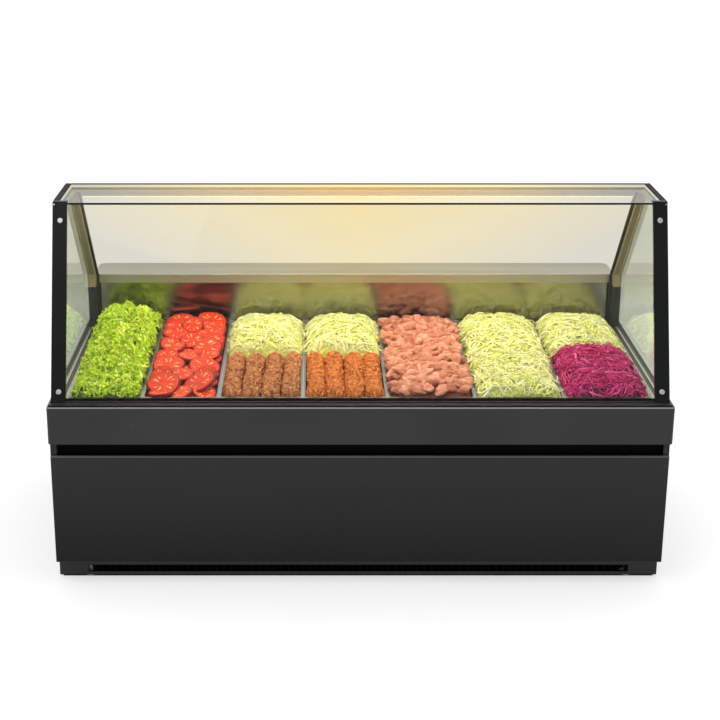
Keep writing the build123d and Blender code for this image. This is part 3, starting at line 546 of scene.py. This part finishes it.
def knob_plastic():
    """Black knob whose raised pointer is white."""
    n = Nodes("knob_plastic")
    face = max(vertex.co.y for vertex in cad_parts["thermostat_knob"].data.vertices)
    pointer = n.math("GREATER_THAN", n.axes()[1], face - 1.5 * MM)
    black = n.ramp(n.noise(25), (0.3, (0.02, 0.02, 0.02)), (0.75, (0.035, 0.035, 0.035)))
    n.set(Base_Color=n.mix(pointer, black, (0.8, 0.8, 0.78)), Roughness=n.spread(n.noise(120), 0.35, 0.5))
    n.bump(n.noise(1200), 0.12, 0.0003)
    return n.material


def lamp_diffuser():
    """Warm glowing diffuser with small bright lamps behind it."""
    n = Nodes("lamp_diffuser")
    dots = n.ramp(n.cells(40, (1, 0.4, 0.4)), (0.0, (1.0, 0.9, 0.66)), (0.7, (1.0, 0.74, 0.36)))
    n.set(Base_Color=dots, Roughness=0.5, Emission_Color=dots, Emission_Strength=2.5)
    return n.material


def strip_steel():
    """Side strips of the well: dull plate between two bright ribs, and the bars below."""
    n = Nodes("strip_steel")
    grain = n.noise(12, 6.0, (60, 1, 60), 0.7)
    rib = n.math("GREATER_THAN", n.axes()[2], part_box("pan_support_bars")[1][2] - 2 * MM)
    plate = n.ramp(grain, (0.3, (0.07, 0.065, 0.05)), (0.7, (0.11, 0.10, 0.08)))
    n.set(Base_Color=n.mix(rib, plate, (0.7, 0.69, 0.64)), Metallic=0.8)
    n.set(Roughness=n.spread(grain, 0.3, 0.45))
    n.bump(grain, 0.06, 0.0003)
    return n.material


def galvanised():
    """Galvanised sheet with a spangle."""
    n = Nodes("galvanised")
    n.set(Base_Color=n.ramp(n.cells(90), (0.1, (0.42, 0.43, 0.44)), (0.9, (0.58, 0.59, 0.6))))
    n.set(Metallic=0.8, Roughness=n.spread(n.noise(40), 0.4, 0.6))
    n.bump(n.noise(300), 0.1, 0.0003)
    return n.material


def copper():
    """Copper pipe with darker oxide patches."""
    n = Nodes("copper")
    n.set(Base_Color=n.ramp(n.noise(40, 5.0), (0.35, (0.45, 0.2, 0.11)), (0.65, (0.85, 0.46, 0.3))))
    n.set(Metallic=1.0, Roughness=n.spread(n.noise(90), 0.25, 0.5))
    return n.material


def leaf_material(name, *stops, through=0.25):
    """Cut leaves: colour by strip and by patch, a wet sheen and light through them."""
    n = Nodes(name)
    patch = n.noise(45, 4.0)
    share = n.math("ADD", n.math("MULTIPLY", n.tone(), 0.6), n.math("MULTIPLY", patch, 0.55))
    n.set(Base_Color=n.ramp(share, *stops), Roughness=0.38, Specular_IOR_Level=0.25)
    n.set(Subsurface_Weight=through, Subsurface_Scale=0.006, Subsurface_Radius=(1.0, 0.9, 0.3))
    n.bump(n.noise(220, 3.0), 0.3, 0.0008)
    return n.material


def meat_material(name, *stops, scale=60, pit=260, by_tone=0.25):
    """Cooked or raw meat: mottled colour by place and by vertex, pits and a dull shine."""
    n = Nodes(name)
    share = n.math("ADD", n.math("MULTIPLY", n.noise(scale, 6.0, rough=0.65), 1.05 - by_tone),
                   n.math("MULTIPLY", n.tone(), by_tone))
    n.set(Base_Color=n.ramp(share, *stops), Roughness=n.spread(n.noise(scale * 3), 0.4, 0.65))
    n.set(Specular_IOR_Level=0.25)
    n.bump(n.math("ADD", n.noise(pit, 5.0), n.cells(pit)), 0.5, 0.0012)
    return n.material


def tomato_material():
    """Sliced tomato: skin, flesh walls, and seeds in jelly, by place on the slice."""
    n = Nodes("tomato_flesh")
    local = n.node("ShaderNodeAttribute", attribute_name="local")
    split = n.node("ShaderNodeSeparateXYZ")
    n.link(local.outputs["Vector"], split.inputs[0])
    x, y, turn = split.outputs
    radius = n.math("SQRT", n.math("ADD", n.math("MULTIPLY", x, x), n.math("MULTIPLY", y, y)))
    angle = n.math("ARCTAN2", y, x)
    spokes = n.math("ABSOLUTE", n.math("SINE", n.math("ADD", n.math("MULTIPLY", angle, 2.0), turn)))
    wobble = n.math("MULTIPLY", n.math("SUBTRACT", n.noise(110, 3.0), 0.5), 0.5)
    wall = n.math("ADD", n.math("MULTIPLY", spokes, radius), wobble)
    chamber = n.math("MULTIPLY", n.math("GREATER_THAN", wall, 0.30), n.math("LESS_THAN", radius, 0.80))
    stray = n.math("MULTIPLY", n.noise(60), 9.0)
    rays = n.math("SINE", n.math("ADD", n.math("MULTIPLY", angle, 11.0), stray))
    seeds = n.math("MULTIPLY", n.math("GREATER_THAN", rays, 0.45), n.between(radius, 0.3, 0.68))
    jelly = n.mix(seeds, rgb(204, 54, 18), rgb(240, 172, 112))
    flesh = n.ramp(n.noise(90, 4.0), (0.3, rgb(206, 32, 4)), (0.7, rgb(232, 72, 20)))
    face = n.mix(chamber, flesh, jelly)
    face = n.mix(n.math("MULTIPLY", n.tone(), 0.4), face, rgb(176, 20, 6))
    skin = n.math("GREATER_THAN", radius, 0.89)
    n.set(Base_Color=n.mix(skin, face, rgb(132, 4, 1)), Roughness=n.spread(n.noise(70), 0.35, 0.55))
    n.set(Specular_IOR_Level=0.22)
    n.bump(n.math("ADD", n.noise(260, 3.0), n.math("MULTIPLY", chamber, -0.6)), 0.35, 0.001)
    return n.material


def paint_frame():
    """Gives every carried-over CAD node its finish."""
    black = coated_metal("black_coat", (0.008, 0.008, 0.0085), (0.012, 0.012, 0.0125))
    # Front panel: painted shade towards the floor and a painted highlight on its top edge.
    panel = shaded_coat("panel_coat", (0.002, 0.002, 0.002), (0.015, 0.015, 0.0155),
                       (PANEL_HIGHLIGHT_FROM, (0.10, 0.10, 0.10)))
    # Gap channel: black coat, darkened further as painted shade in the recess.
    gap = coated_metal("gap_coat", (0.001, 0.001, 0.001), (0.002, 0.002, 0.002), (0.7, 0.85), 0.05)
    # Fascia with a painted highlight along its top edge.
    fascia = coated_metal("fascia_coat", (0.018, 0.0175, 0.018), (0.023, 0.0225, 0.023), (0.28, 0.38), 0.25,
                          (FASCIA_HIGHLIGHT_FROM, (0.2, 0.2, 0.2)))
    kick = coated_metal("kick_coat", (0.012, 0.012, 0.011), (0.017, 0.016, 0.015), (0.35, 0.5))
    grille = coated_metal("grille_coat", (0.001, 0.0008, 0.0008), (0.002, 0.0016, 0.0016), (0.6, 0.8), 0.02)
    trim = coated_metal("trim_coat", (0.02, 0.02, 0.02), (0.03, 0.029, 0.028), (0.35, 0.5), 0.2)
    post = coated_metal("post_coat", (0.001, 0.0015, 0.002), (0.003, 0.004, 0.0045), (0.25, 0.36), 0.14)
    pale = coated_metal("pale_coat", (0.33, 0.33, 0.32), (0.38, 0.38, 0.37), (0.35, 0.5), 0.35)
    steel_x = brushed("steel_along", (0.35, 0.34, 0.29), (0.50, 0.49, 0.42), "X", (0.11, 0.18))
    steel_y = brushed("steel_across", (0.24, 0.24, 0.21), (0.36, 0.36, 0.32), "Y", (0.24, 0.38))
    counter = brushed("worktop_steel", (0.52, 0.52, 0.48), (0.64, 0.63, 0.58), "X", (0.42, 0.55))
    fins = brushed("fin_alloy", (0.5, 0.51, 0.52), (0.7, 0.71, 0.72), "Y", (0.35, 0.5))
    screw = brushed("screw_steel", (0.30, 0.30, 0.30), (0.48, 0.48, 0.48), "X", (0.18, 0.3))
    seal, zinc = rubber(), galvanised()
    plastic = moulded("control_plastic", (0.025, 0.025, 0.025), (0.04, 0.04, 0.04))
    finishes = {
        black: ["end_panels"], panel: ["front_panel"], gap: ["gap_channel"],
        fascia: ["front_fascia"], kick: ["kick_plate"], grille: ["intake_grille"],
        trim: ["deck_trim"], post: ["front_posts"], rail_coat(): ["top_frame", "led_housing"],
        pale: ["rear_frame", "service_panel", "storage_liner", "rear_door_left", "rear_door_right"],
        counter: ["worktop"], steel_x: ["rear_upstand", "well_liner"],
        strip_steel(): ["pan_support_bars"], steel_y: [f"pan_{i}" for i in range(1, PANS + 1)],
        rear_post(): ["rear_posts"], fins: ["condenser_coil", "evaporator_coil"],
        screw: ["post_screws", "door_hinge_pins"],
        clear_glass(): ["front_glass"], top_pane(): ["top_glass"], side_pane(): ["side_glass"],
        seal: ["glass_seals", "door_gasket_left", "door_gasket_right"],
        zinc: ["base_frame", "fan_shrouds", *[f"levelling_foot_{i}" for i in range(1, 5)]],
        plastic: ["control_panel", "cable_gland", "condenser_fan", "evaporator_fan"],
        knob_plastic(): ["thermostat_knob"],
        copper(): ["refrigerant_pipes"], lamp_diffuser(): ["led_diffuser"],
        moulded("compressor_paint", (0.012, 0.012, 0.012), (0.02, 0.02, 0.02)): ["compressor"],
        moulded("rocker_green", (0.01, 0.22, 0.05), (0.02, 0.32, 0.08), (0.2, 0.3)): ["light_switch"],
        moulded("rocker_red", (0.4, 0.01, 0.01), (0.55, 0.02, 0.02), (0.2, 0.3)): ["power_switch"],
    }
    for material, names in finishes.items():
        for name in names:
            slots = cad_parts[name].data.materials
            slots.clear()
            slots.append(material)


# ---------------------------------------------------------------- food

def food_box(number):
    """x0, x1, y0, y1, floor and top of a pan's contents."""
    low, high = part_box(FILLS[number])
    return low[0], high[0], low[1], high[1], low[2], high[2]


def rim_height():
    """Height of the pans' rims."""
    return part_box("pan_1")[1][2]


def lumps(x, y, size, seed):
    """Smooth unevenness from a few waves, in the range of about -1 to 1."""
    rng = np.random.default_rng(seed)
    total = 0 * x
    for _ in range(7):
        angle, phase = rng.uniform(0, 2 * math.pi, 2)
        rate = 2 * math.pi / (size * rng.uniform(0.6, 1.6))
        total = total + np.sin((x * np.cos(angle) + y * np.sin(angle)) * rate + phase)
    return total / 3.2


def mound(limits, heights, rim, seed, crown=0.012, rough=0.005, sag=0.012):
    """Height field: a profile from front to rear, crowned across, lower at the walls."""
    wall_run, lump_size = 0.03, 0.06
    x0, x1, y0, y1 = limits
    stations = np.linspace(y0, y1, len(heights))

    def height(x, y):
        along = np.interp(y, stations, np.array(heights) * MM)
        u = np.clip((x - x0) / (x1 - x0) * 2 - 1, -1, 1)
        edge = np.minimum(y - y0, y1 - y)
        wall = np.clip(1 - edge / wall_run, 0, 1) ** 2
        fall = 1 - 0.75 * np.abs(u) ** 5
        lump = rough * lumps(x, y, lump_size, seed)
        dome = crown * (1 - u ** 2) * (1 - wall)
        return rim + along * fall + dome - sag * (np.abs(u) ** 6 + 1.3 * wall) + lump

    return height


def bed(name, number, limits, height, base, material, replaced=()):
    """Closed mound under loose food."""
    x0, x1, y0, y1 = limits
    points, faces = closed_grid(x0, x1, y0, y1, *BED_STEPS, height, base)
    piece = mesh_object(name, points, faces)
    set_tone(piece, np.full(len(points), 0.1))
    finish_piece(piece, number, material, replaced)


def finish_piece(piece, number, material, replaced=()):
    """Material, slot, body and the CAD node that a food piece stands for."""
    piece.data.materials.append(material)
    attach(piece, f"food_pan_{number}")
    if replaced:
        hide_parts(*replaced)


def scatter(rng, limits, count):
    """Random places inside a rectangle, a little in from its edges."""
    margin = 6 * MM
    x0, x1, y0, y1 = limits
    xs = rng.uniform(x0 + margin, x1 - margin, count)
    ys = rng.uniform(y0 + margin, y1 - margin, count)
    return np.stack([xs, ys], axis=-1)


def shred_heap(name, number, limits, heights, count, size, material, seed,
               under=None, replaced=()):
    """Mound covered in shredded strips, which stray a little over the pan's sides."""
    rng = np.random.default_rng(seed)
    base = food_box(number)[4]
    height = mound(limits, heights, rim_height(), seed)
    bed(f"{name}_bed", number, limits, height, base, under or material, replaced)
    x0, x1, y0, y1 = limits
    short, long, narrow, wide, thick = size
    stray = 0.007
    strips = ribbons(
        name, rng, scatter(rng, limits, count), rng.uniform(0, math.pi, count),
        rng.uniform(short, long, count), rng.uniform(narrow, wide, count), thick, height,
        (x0 - stray, x1 + stray, y0 + 0.002, y1 + 0.004),
        rng.uniform(0.0, 0.014, count), rng.normal(0, 0.7, count), 0.4)
    keep_inside(strips, limits)
    finish_piece(strips, number, material)


def lettuce(number):
    """Chopped frilly lettuce heaped high at the rear."""
    rng = np.random.default_rng(SEED + 1)
    x0, x1, y0, y1, base, _ = food_box(number)
    limits = (x0, x1, y0, y1)
    green = leaf_material("lettuce_leaf", (0.15, rgb(104, 152, 6)), (0.35, rgb(168, 212, 14)),
                          (0.6, rgb(206, 234, 40)), (0.95, rgb(238, 248, 130)), through=0.2)
    dark = leaf_material("lettuce_shade", (0.1, rgb(34, 62, 4)), (0.9, rgb(84, 124, 12)))
    height = mound(limits, RISES["lettuce"], rim_height(), 5, crown=0.014, rough=0.014, sag=0.010)
    bed("lettuce_bed", number, limits, height, base, dark, ("lettuce_fill",))
    parts = []
    for x, y in scatter(rng, limits, LEAVES):
        parts.append(frilly_leaf(rng, x, y, float(height(np.array(x), np.array(y)))))
    leaves = join_parts("lettuce_leaves", parts)
    keep_inside(leaves, limits)
    finish_piece(leaves, number, green)
    count = LETTUCE_SHREDS
    short, long, narrow, wide, thick = LETTUCE_STRIP
    shreds = ribbons(
        "lettuce_shreds", rng, scatter(rng, limits, count), rng.uniform(0, math.pi, count),
        rng.uniform(short, long, count), rng.uniform(narrow, wide, count), thick, height,
        (x0 - 0.010, x1 + 0.008, y0 + 0.002, y1 + 0.004),
        rng.uniform(0.002, 0.016, count), rng.normal(0, 0.8, count))
    keep_inside(shreds, limits)
    finish_piece(shreds, number, green)


def frilly_leaf(rng, x, y, z):
    """One cut leaf: a curled strip with waved edges, as points, faces and tone."""
    rows, columns = 9, 4
    length, width = rng.uniform(0.018, 0.042), rng.uniform(0.007, 0.015)
    s = np.linspace(-0.5, 0.5, rows)[:, None] * np.ones((1, columns))
    t = np.linspace(-0.5, 0.5, columns)[None, :] * np.ones((rows, 1))
    curl = rng.uniform(0.6, 2.4) * rng.choice([-1, 1])
    lx = np.sin(s * curl) / curl * length
    lz = (1 - np.cos(s * curl)) / curl * length
    frill = np.abs(t) * 2
    lz = lz + frill * 0.004 * np.sin(s * rng.uniform(16, 26) + rng.uniform(0, 6) + np.sign(t))
    ly = t * width * (1 - 0.5 * (2 * s) ** 4) + 0.002 * np.sin(s * 9 + rng.uniform(0, 6))
    lz = lz + rng.uniform(-0.3, 0.5) * ly
    local = np.stack([lx, ly, lz], axis=-1).reshape(-1, 3)
    heading, pitch, roll = rng.uniform(0, 2 * math.pi), rng.normal(0.1, 0.35), rng.normal(0, 0.6)
    turned = local @ turn_matrix(heading, pitch, roll).T
    points = turned + np.array([x, y, z + rng.uniform(0.002, 0.014)])
    corner = (np.arange(rows - 1)[:, None] * columns + np.arange(columns - 1)).ravel()
    faces = np.stack([corner, corner + 1, corner + columns + 1, corner + columns], axis=-1)
    return points, faces, rng.uniform(0, 1)


def turn_matrix(heading, pitch, roll):
    """Rotation by roll about X, pitch about Y, then heading about Z."""
    ch, sh, cp, sp, cr, sr = (f(a) for a in (heading, pitch, roll) for f in (math.cos, math.sin))
    about_z = np.array([[ch, -sh, 0], [sh, ch, 0], [0, 0, 1]])
    about_y = np.array([[cp, 0, sp], [0, 1, 0], [-sp, 0, cp]])
    about_x = np.array([[1, 0, 0], [0, cr, -sr], [0, sr, cr]])
    return about_z @ about_y @ about_x


def keep_inside(piece, limits, margin=0.002):
    """Moves stray vertices inside the pan's walls, or lets them hang a little way over its rim.

    At the front they lean back with height, clear of the sloping glass as the pan lifts.
    """
    x0, x1, y0, y1 = limits
    mesh = piece.data
    points = np.empty(len(mesh.vertices) * 3)
    mesh.vertices.foreach_get("co", points)
    points = points.reshape(-1, 3)
    rim = rim_height()
    low = points[:, 2] < rim + HANG_FROM
    inside_x = np.clip(points[:, 0], x0 + margin, x1 - margin)
    inside_y = np.clip(points[:, 1], y0 + margin, y1 - margin)
    over_x = np.clip(points[:, 0], x0 - HANG_LEFT, x1 + HANG_RIGHT)
    points[:, 0] = np.where(low, inside_x, over_x)
    lean = GLASS_LEAN * np.clip(points[:, 2] - rim - LEAN_FROM, 0, 1)
    over_y = np.clip(points[:, 1], y0 - HANG_FRONT + lean, y1 + HANG_REAR)
    points[:, 1] = np.where(low, inside_y, over_y)
    mesh.vertices.foreach_set("co", points.ravel())
    mesh.update()


def tomato_slice(rng, scale):
    """Round slice: points about its centre, faces, and each point's place on the slice."""
    around = 28
    rings = [(0.0, 1.0), (0.35, 0.96), (0.6, 0.93), (0.82, 1.0), (0.93, 0.98), (0.99, 0.75),
             (1.0, 0.4), (0.96, 0.0)]
    angle = np.arange(around) / around * 2 * math.pi
    wobble = 1 + 0.035 * np.sin(3 * angle + rng.uniform(0, 6)) + 0.02 * np.sin(5 * angle + rng.uniform(0, 6))
    points, local = [], []
    phase = rng.uniform(0, 6)
    for radius, rise in rings:
        r = SLICE_R * scale * radius * wobble
        z = np.full(around, SLICE_T * (rise - 0.5))
        points.append(np.stack([r * np.cos(angle), r * np.sin(angle), z], axis=-1))
        place = radius if rise > 0.9 else 1.0
        turn = np.full(around, phase)
        local.append(np.stack([place * np.cos(angle), place * np.sin(angle), turn], axis=-1))
    faces = []
    for ring in range(len(rings) - 1):
        for k in range(around):
            a, b = ring * around + k, ring * around + (k + 1) % around
            faces.append((a, a + around, b + around, b))
    last = (len(rings) - 1) * around
    faces.append(tuple(last + k for k in range(around)))
    return np.vstack(points), faces, np.vstack(local)


def tomatoes(number):
    """Two layers of shingled tomato slices, in rows of three and two by turns."""
    rng = np.random.default_rng(SEED + 2)
    x0, x1, y0, y1, base, _ = food_box(number)
    limits = (x0, x1, y0, y1)
    flesh = tomato_material()
    height = mound(limits, RISES["tomato"], rim_height(), 6, crown=0.008, rough=0.002)
    # Dark red bed under the slices: painted shade in the gaps between them.
    painted_shade = meat_material("tomato_painted_shade", (0.2, rgb(60, 2, 1)), (0.8, rgb(110, 8, 4)))
    bed("tomato_bed", number, limits, height, base, painted_shade, ("tomato_fill",))
    parts, locals_ = [], []
    wander = 0.005
    for layer, lift, lean in ((0, 0.0, -0.1), (1, 0.014, -0.34)):
        for row in range(SLICE_ROWS):
            columns = 3 - (row + layer) % 2
            for column in range(columns):
                scale = rng.uniform(0.90, 1.05) * (1.22 if columns == 2 else 0.98)
                points, faces, local = tomato_slice(rng, scale)
                room = SLICE_R * scale
                x = x0 + room + (x1 - x0 - 2 * room) * column / (columns - 1) + rng.normal(0, wander)
                x = min(max(x, x0 + room), x1 - room)
                share = (row + 0.5 * layer) / (SLICE_ROWS - 0.5)
                y = y0 + SLICE_END + (y1 - y0 - 0.004 - 2 * SLICE_END) * share + rng.normal(0, wander)
                turn = turn_matrix(rng.normal(math.pi / 2, 0.3), rng.normal(lean, 0.15), rng.normal(0, 0.14))
                z = float(height(np.array(x), np.array(y))) + lift + rng.uniform(0, 0.012)
                parts.append((points @ turn.T + np.array([x, y, z]), faces, rng.uniform(0, 1)))
                locals_.append(local)
    slices = join_parts("tomato_slices", parts)
    keep_inside(slices, limits)
    store = slices.data.attributes.new("local", "FLOAT_VECTOR", "POINT")
    store.data.foreach_set("vector", np.vstack(locals_).astype(np.float32).ravel())
    finish_piece(slices, number, flesh)


def bumpy_roll(rng, x, y_low, y_high, z, radius):
    """Grilled meat roll along Y, crusty and lumpy, as points, faces and tone."""
    around, along = 96, 220
    length = y_high - y_low
    seed = Vector(rng.uniform(-50, 50, 3))
    points, tones = [], []
    for j in range(along + 1):
        s = j / along
        end = min(s, 1 - s) * length / radius
        profile = math.sqrt(max(0.0, 1 - (1 - min(end, 1)) ** 2)) * (1 + 0.05 * math.sin(s * 14 + seed.x))
        bow = 0.003 * math.sin(s * math.pi * 1.3 + seed.y)
        for k in range(around):
            angle = k / around * 2 * math.pi
            spot = Vector((math.cos(angle) * radius, s * length, math.sin(angle) * radius))
            lump = noise.noise(spot * 45 + seed) * 0.06 + noise.noise(spot * 110 + seed) * 0.20
            lump += noise.noise(spot * 240 + seed) * 0.11
            r = radius * profile * (0.93 + lump)
            points.append((x + bow + r * math.cos(angle), y_low + s * length, z + r * math.sin(angle)))
            # Tone follows the lumps: hollows darker as painted shade, raised bits lighter as painted
            # highlight.
            tones.append(min(max(0.52 + 3.0 * lump, 0), 1))
    faces = []
    for j in range(along):
        for k in range(around):
            a, b = j * around + k, j * around + (k + 1) % around
            faces.append((a, b, b + around, a + around))
    return np.array(points), faces, np.array(tones)


def kebabs(number, meat, shred, seed):
    """Four long grilled rolls side by side in front of shredded cabbage."""
    rng = np.random.default_rng(seed)
    x0, x1, y0, y1, base, _ = food_box(number)
    split = y0 + KEBAB_DEPTH
    rim = rim_height()
    bed(f"kebab_bed_{number}", number, (x0, x1, y0, split + 0.004),
        lambda x, y: rim - 0.026 + 0.002 * lumps(x, y, 0.03, seed), base, meat,
        (f"kebab_rolls_{number}",))
    pitch = (x1 - x0) / ROLLS_PER_PAN
    parts = []
    for i in range(ROLLS_PER_PAN):
        middle = x0 + (i + 0.5) * pitch
        z = rim - 0.011 + rng.uniform(-0.002, 0.003)
        parts.append(bumpy_roll(rng, middle + rng.normal(0, 0.001), y0 + 0.003, split + 0.012, z,
                                pitch * rng.uniform(0.49, 0.515)))
    rolls = join_parts(f"kebab_grill_{number}", parts)
    keep_inside(rolls, (x0, x1, y0, y1), 0.001)
    finish_piece(rolls, number, meat)
    limits = (x0, x1, split, y1)
    shred_heap(f"kebab_garnish_{number}", number, limits, RISES["garnish"], 1300,
               GARNISH_STRIP, shred, seed + 50)


def chicken(number):
    """Raw diced chicken, wet and uneven."""
    rng = np.random.default_rng(SEED + 5)
    x0, x1, y0, y1, base, _ = food_box(number)
    limits = (x0, x1, y0, y1)
    raw = meat_material("chicken_raw", (0.2, rgb(132, 62, 44)), (0.42, rgb(184, 112, 84)),
                        (0.62, rgb(210, 142, 118)), (0.85, rgb(234, 186, 166)), scale=28, pit=90, by_tone=0.6)
    shade = meat_material("chicken_shade", (0.2, rgb(96, 36, 24)), (0.8, rgb(150, 74, 52)))
    height = mound(limits, RISES["chicken"], rim_height(), 9, crown=0.010, rough=0.004)
    bed("chicken_bed", number, limits, height, base, shade, ("chicken_fill",))
    shape = bmesh.new()
    bmesh.ops.create_icosphere(shape, subdivisions=3, radius=1.0)
    unit = [v.co.copy() for v in shape.verts]
    faces = [tuple(v.index for v in f.verts) for f in shape.faces]
    shape.free()
    parts = []
    for x, y in spaced_places(rng, limits, CHICKEN_PIECES, CHICKEN_APART):
        seed = Vector(rng.uniform(-50, 50, 3))
        size = np.array([rng.uniform(*span) for span in CHICKEN_SIZE])
        swell = [0.42 * noise.noise(v * 1.4 + seed) + 0.20 * noise.noise(v * 3.4 + seed) for v in unit]
        points = np.array([v * (1 + grow) for v, grow in zip(unit, swell)]) * size
        # Tone follows the swell, with a random part: dents and creases darker as painted shade.
        tone = np.clip(0.45 + 1.1 * np.array(swell) + rng.normal(0, 0.12), 0, 1)
        turn = turn_matrix(rng.uniform(0, math.pi), rng.normal(0, 0.3), rng.normal(0, 0.3))
        z = float(height(np.array(x), np.array(y))) + rng.uniform(0.004, 0.012)
        parts.append((points @ turn.T + np.array([x, y, z]), faces, tone))
    pieces = join_parts("chicken_pieces", parts)
    keep_inside(pieces, limits)
    finish_piece(pieces, number, raw)


def spaced_places(rng, limits, count, apart):
    """Random places that keep a distance from each other, as many as are found."""
    side, front, tries = 0.016, 0.030, 40
    chosen = []
    x0, x1, y0, y1 = limits
    for _ in range(count * tries):
        place = np.array([rng.uniform(x0 + side, x1 - side), rng.uniform(y0 + front, y1 - side)])
        if all(np.hypot(*(place - other)) > apart for other in chosen):
            chosen.append(place)
        if len(chosen) == count:
            break
    return chosen


def make_food():
    """Fills the seven pans."""
    pale = leaf_material("cabbage_shred", (0.1, rgb(204, 212, 96)), (0.35, rgb(228, 234, 132)),
                         (0.6, rgb(242, 245, 168)), (0.95, rgb(252, 252, 218)), through=0.3)
    pale_under = leaf_material("cabbage_shade", (0.1, rgb(198, 204, 86)), (0.9, rgb(230, 234, 130)))
    red = leaf_material("red_cabbage_shred", (0.1, rgb(104, 0, 50)), (0.4, rgb(172, 6, 88)),
                        (0.7, rgb(210, 34, 126)), (1.0, rgb(244, 130, 190)), through=0.15)
    red_under = leaf_material("red_cabbage_shade", (0.1, rgb(50, 0, 24)), (0.9, rgb(104, 2, 50)))
    brown = meat_material("kebab_brown", (0.15, rgb(50, 22, 10)), (0.4, rgb(128, 70, 34)),
                          (0.62, rgb(170, 104, 58)), (0.9, rgb(206, 142, 90)), by_tone=0.75)
    orange = meat_material("kebab_orange", (0.15, rgb(62, 24, 4)), (0.4, rgb(144, 72, 18)),
                           (0.62, rgb(190, 102, 30)), (0.9, rgb(226, 144, 60)), by_tone=0.75)
    lettuce(1)
    tomatoes(2)
    kebabs(3, brown, pale, SEED + 3)
    kebabs(4, orange, pale, SEED + 4)
    chicken(5)
    x0, x1, y0, y1, _, _ = food_box(6)
    shred_heap("cabbage", 6, (x0, x1, y0, y1), RISES["cabbage"], 2200, CABBAGE_STRIP, pale,
               SEED + 6, pale_under, ("cabbage_fill",))
    x0, x1, y0, y1, _, _ = food_box(7)
    split = y0 + RED_CABBAGE_DEPTH
    shred_heap("red_cabbage", 7, (x0, x1, y0, split), RISES["red_cabbage"], 1300, CABBAGE_STRIP, red,
               SEED + 7, red_under, ("red_cabbage_fill",))
    shred_heap("rear_cabbage", 7, (x0, x1, split, y1), RISES["rear_cabbage"], 1100, CABBAGE_STRIP, pale,
               SEED + 8, pale_under)


def soften_edges():
    """Small rounds on the folded and extruded edges, which catch the light."""
    for name, width in (("front_panel", 0.8), ("front_posts", 0.8), ("top_frame", 0.8),
                        ("rear_posts", 0.7), ("deck_trim", 0.5)):
        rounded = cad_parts[name].modifiers.new("rounded", "BEVEL")
        rounded.width = width * MM
        rounded.segments = 2
        rounded.limit_method = "ANGLE"
        rounded.angle_limit = math.radians(35)


set_camera()
set_stage()
paint_frame()
make_food()
soften_edges()
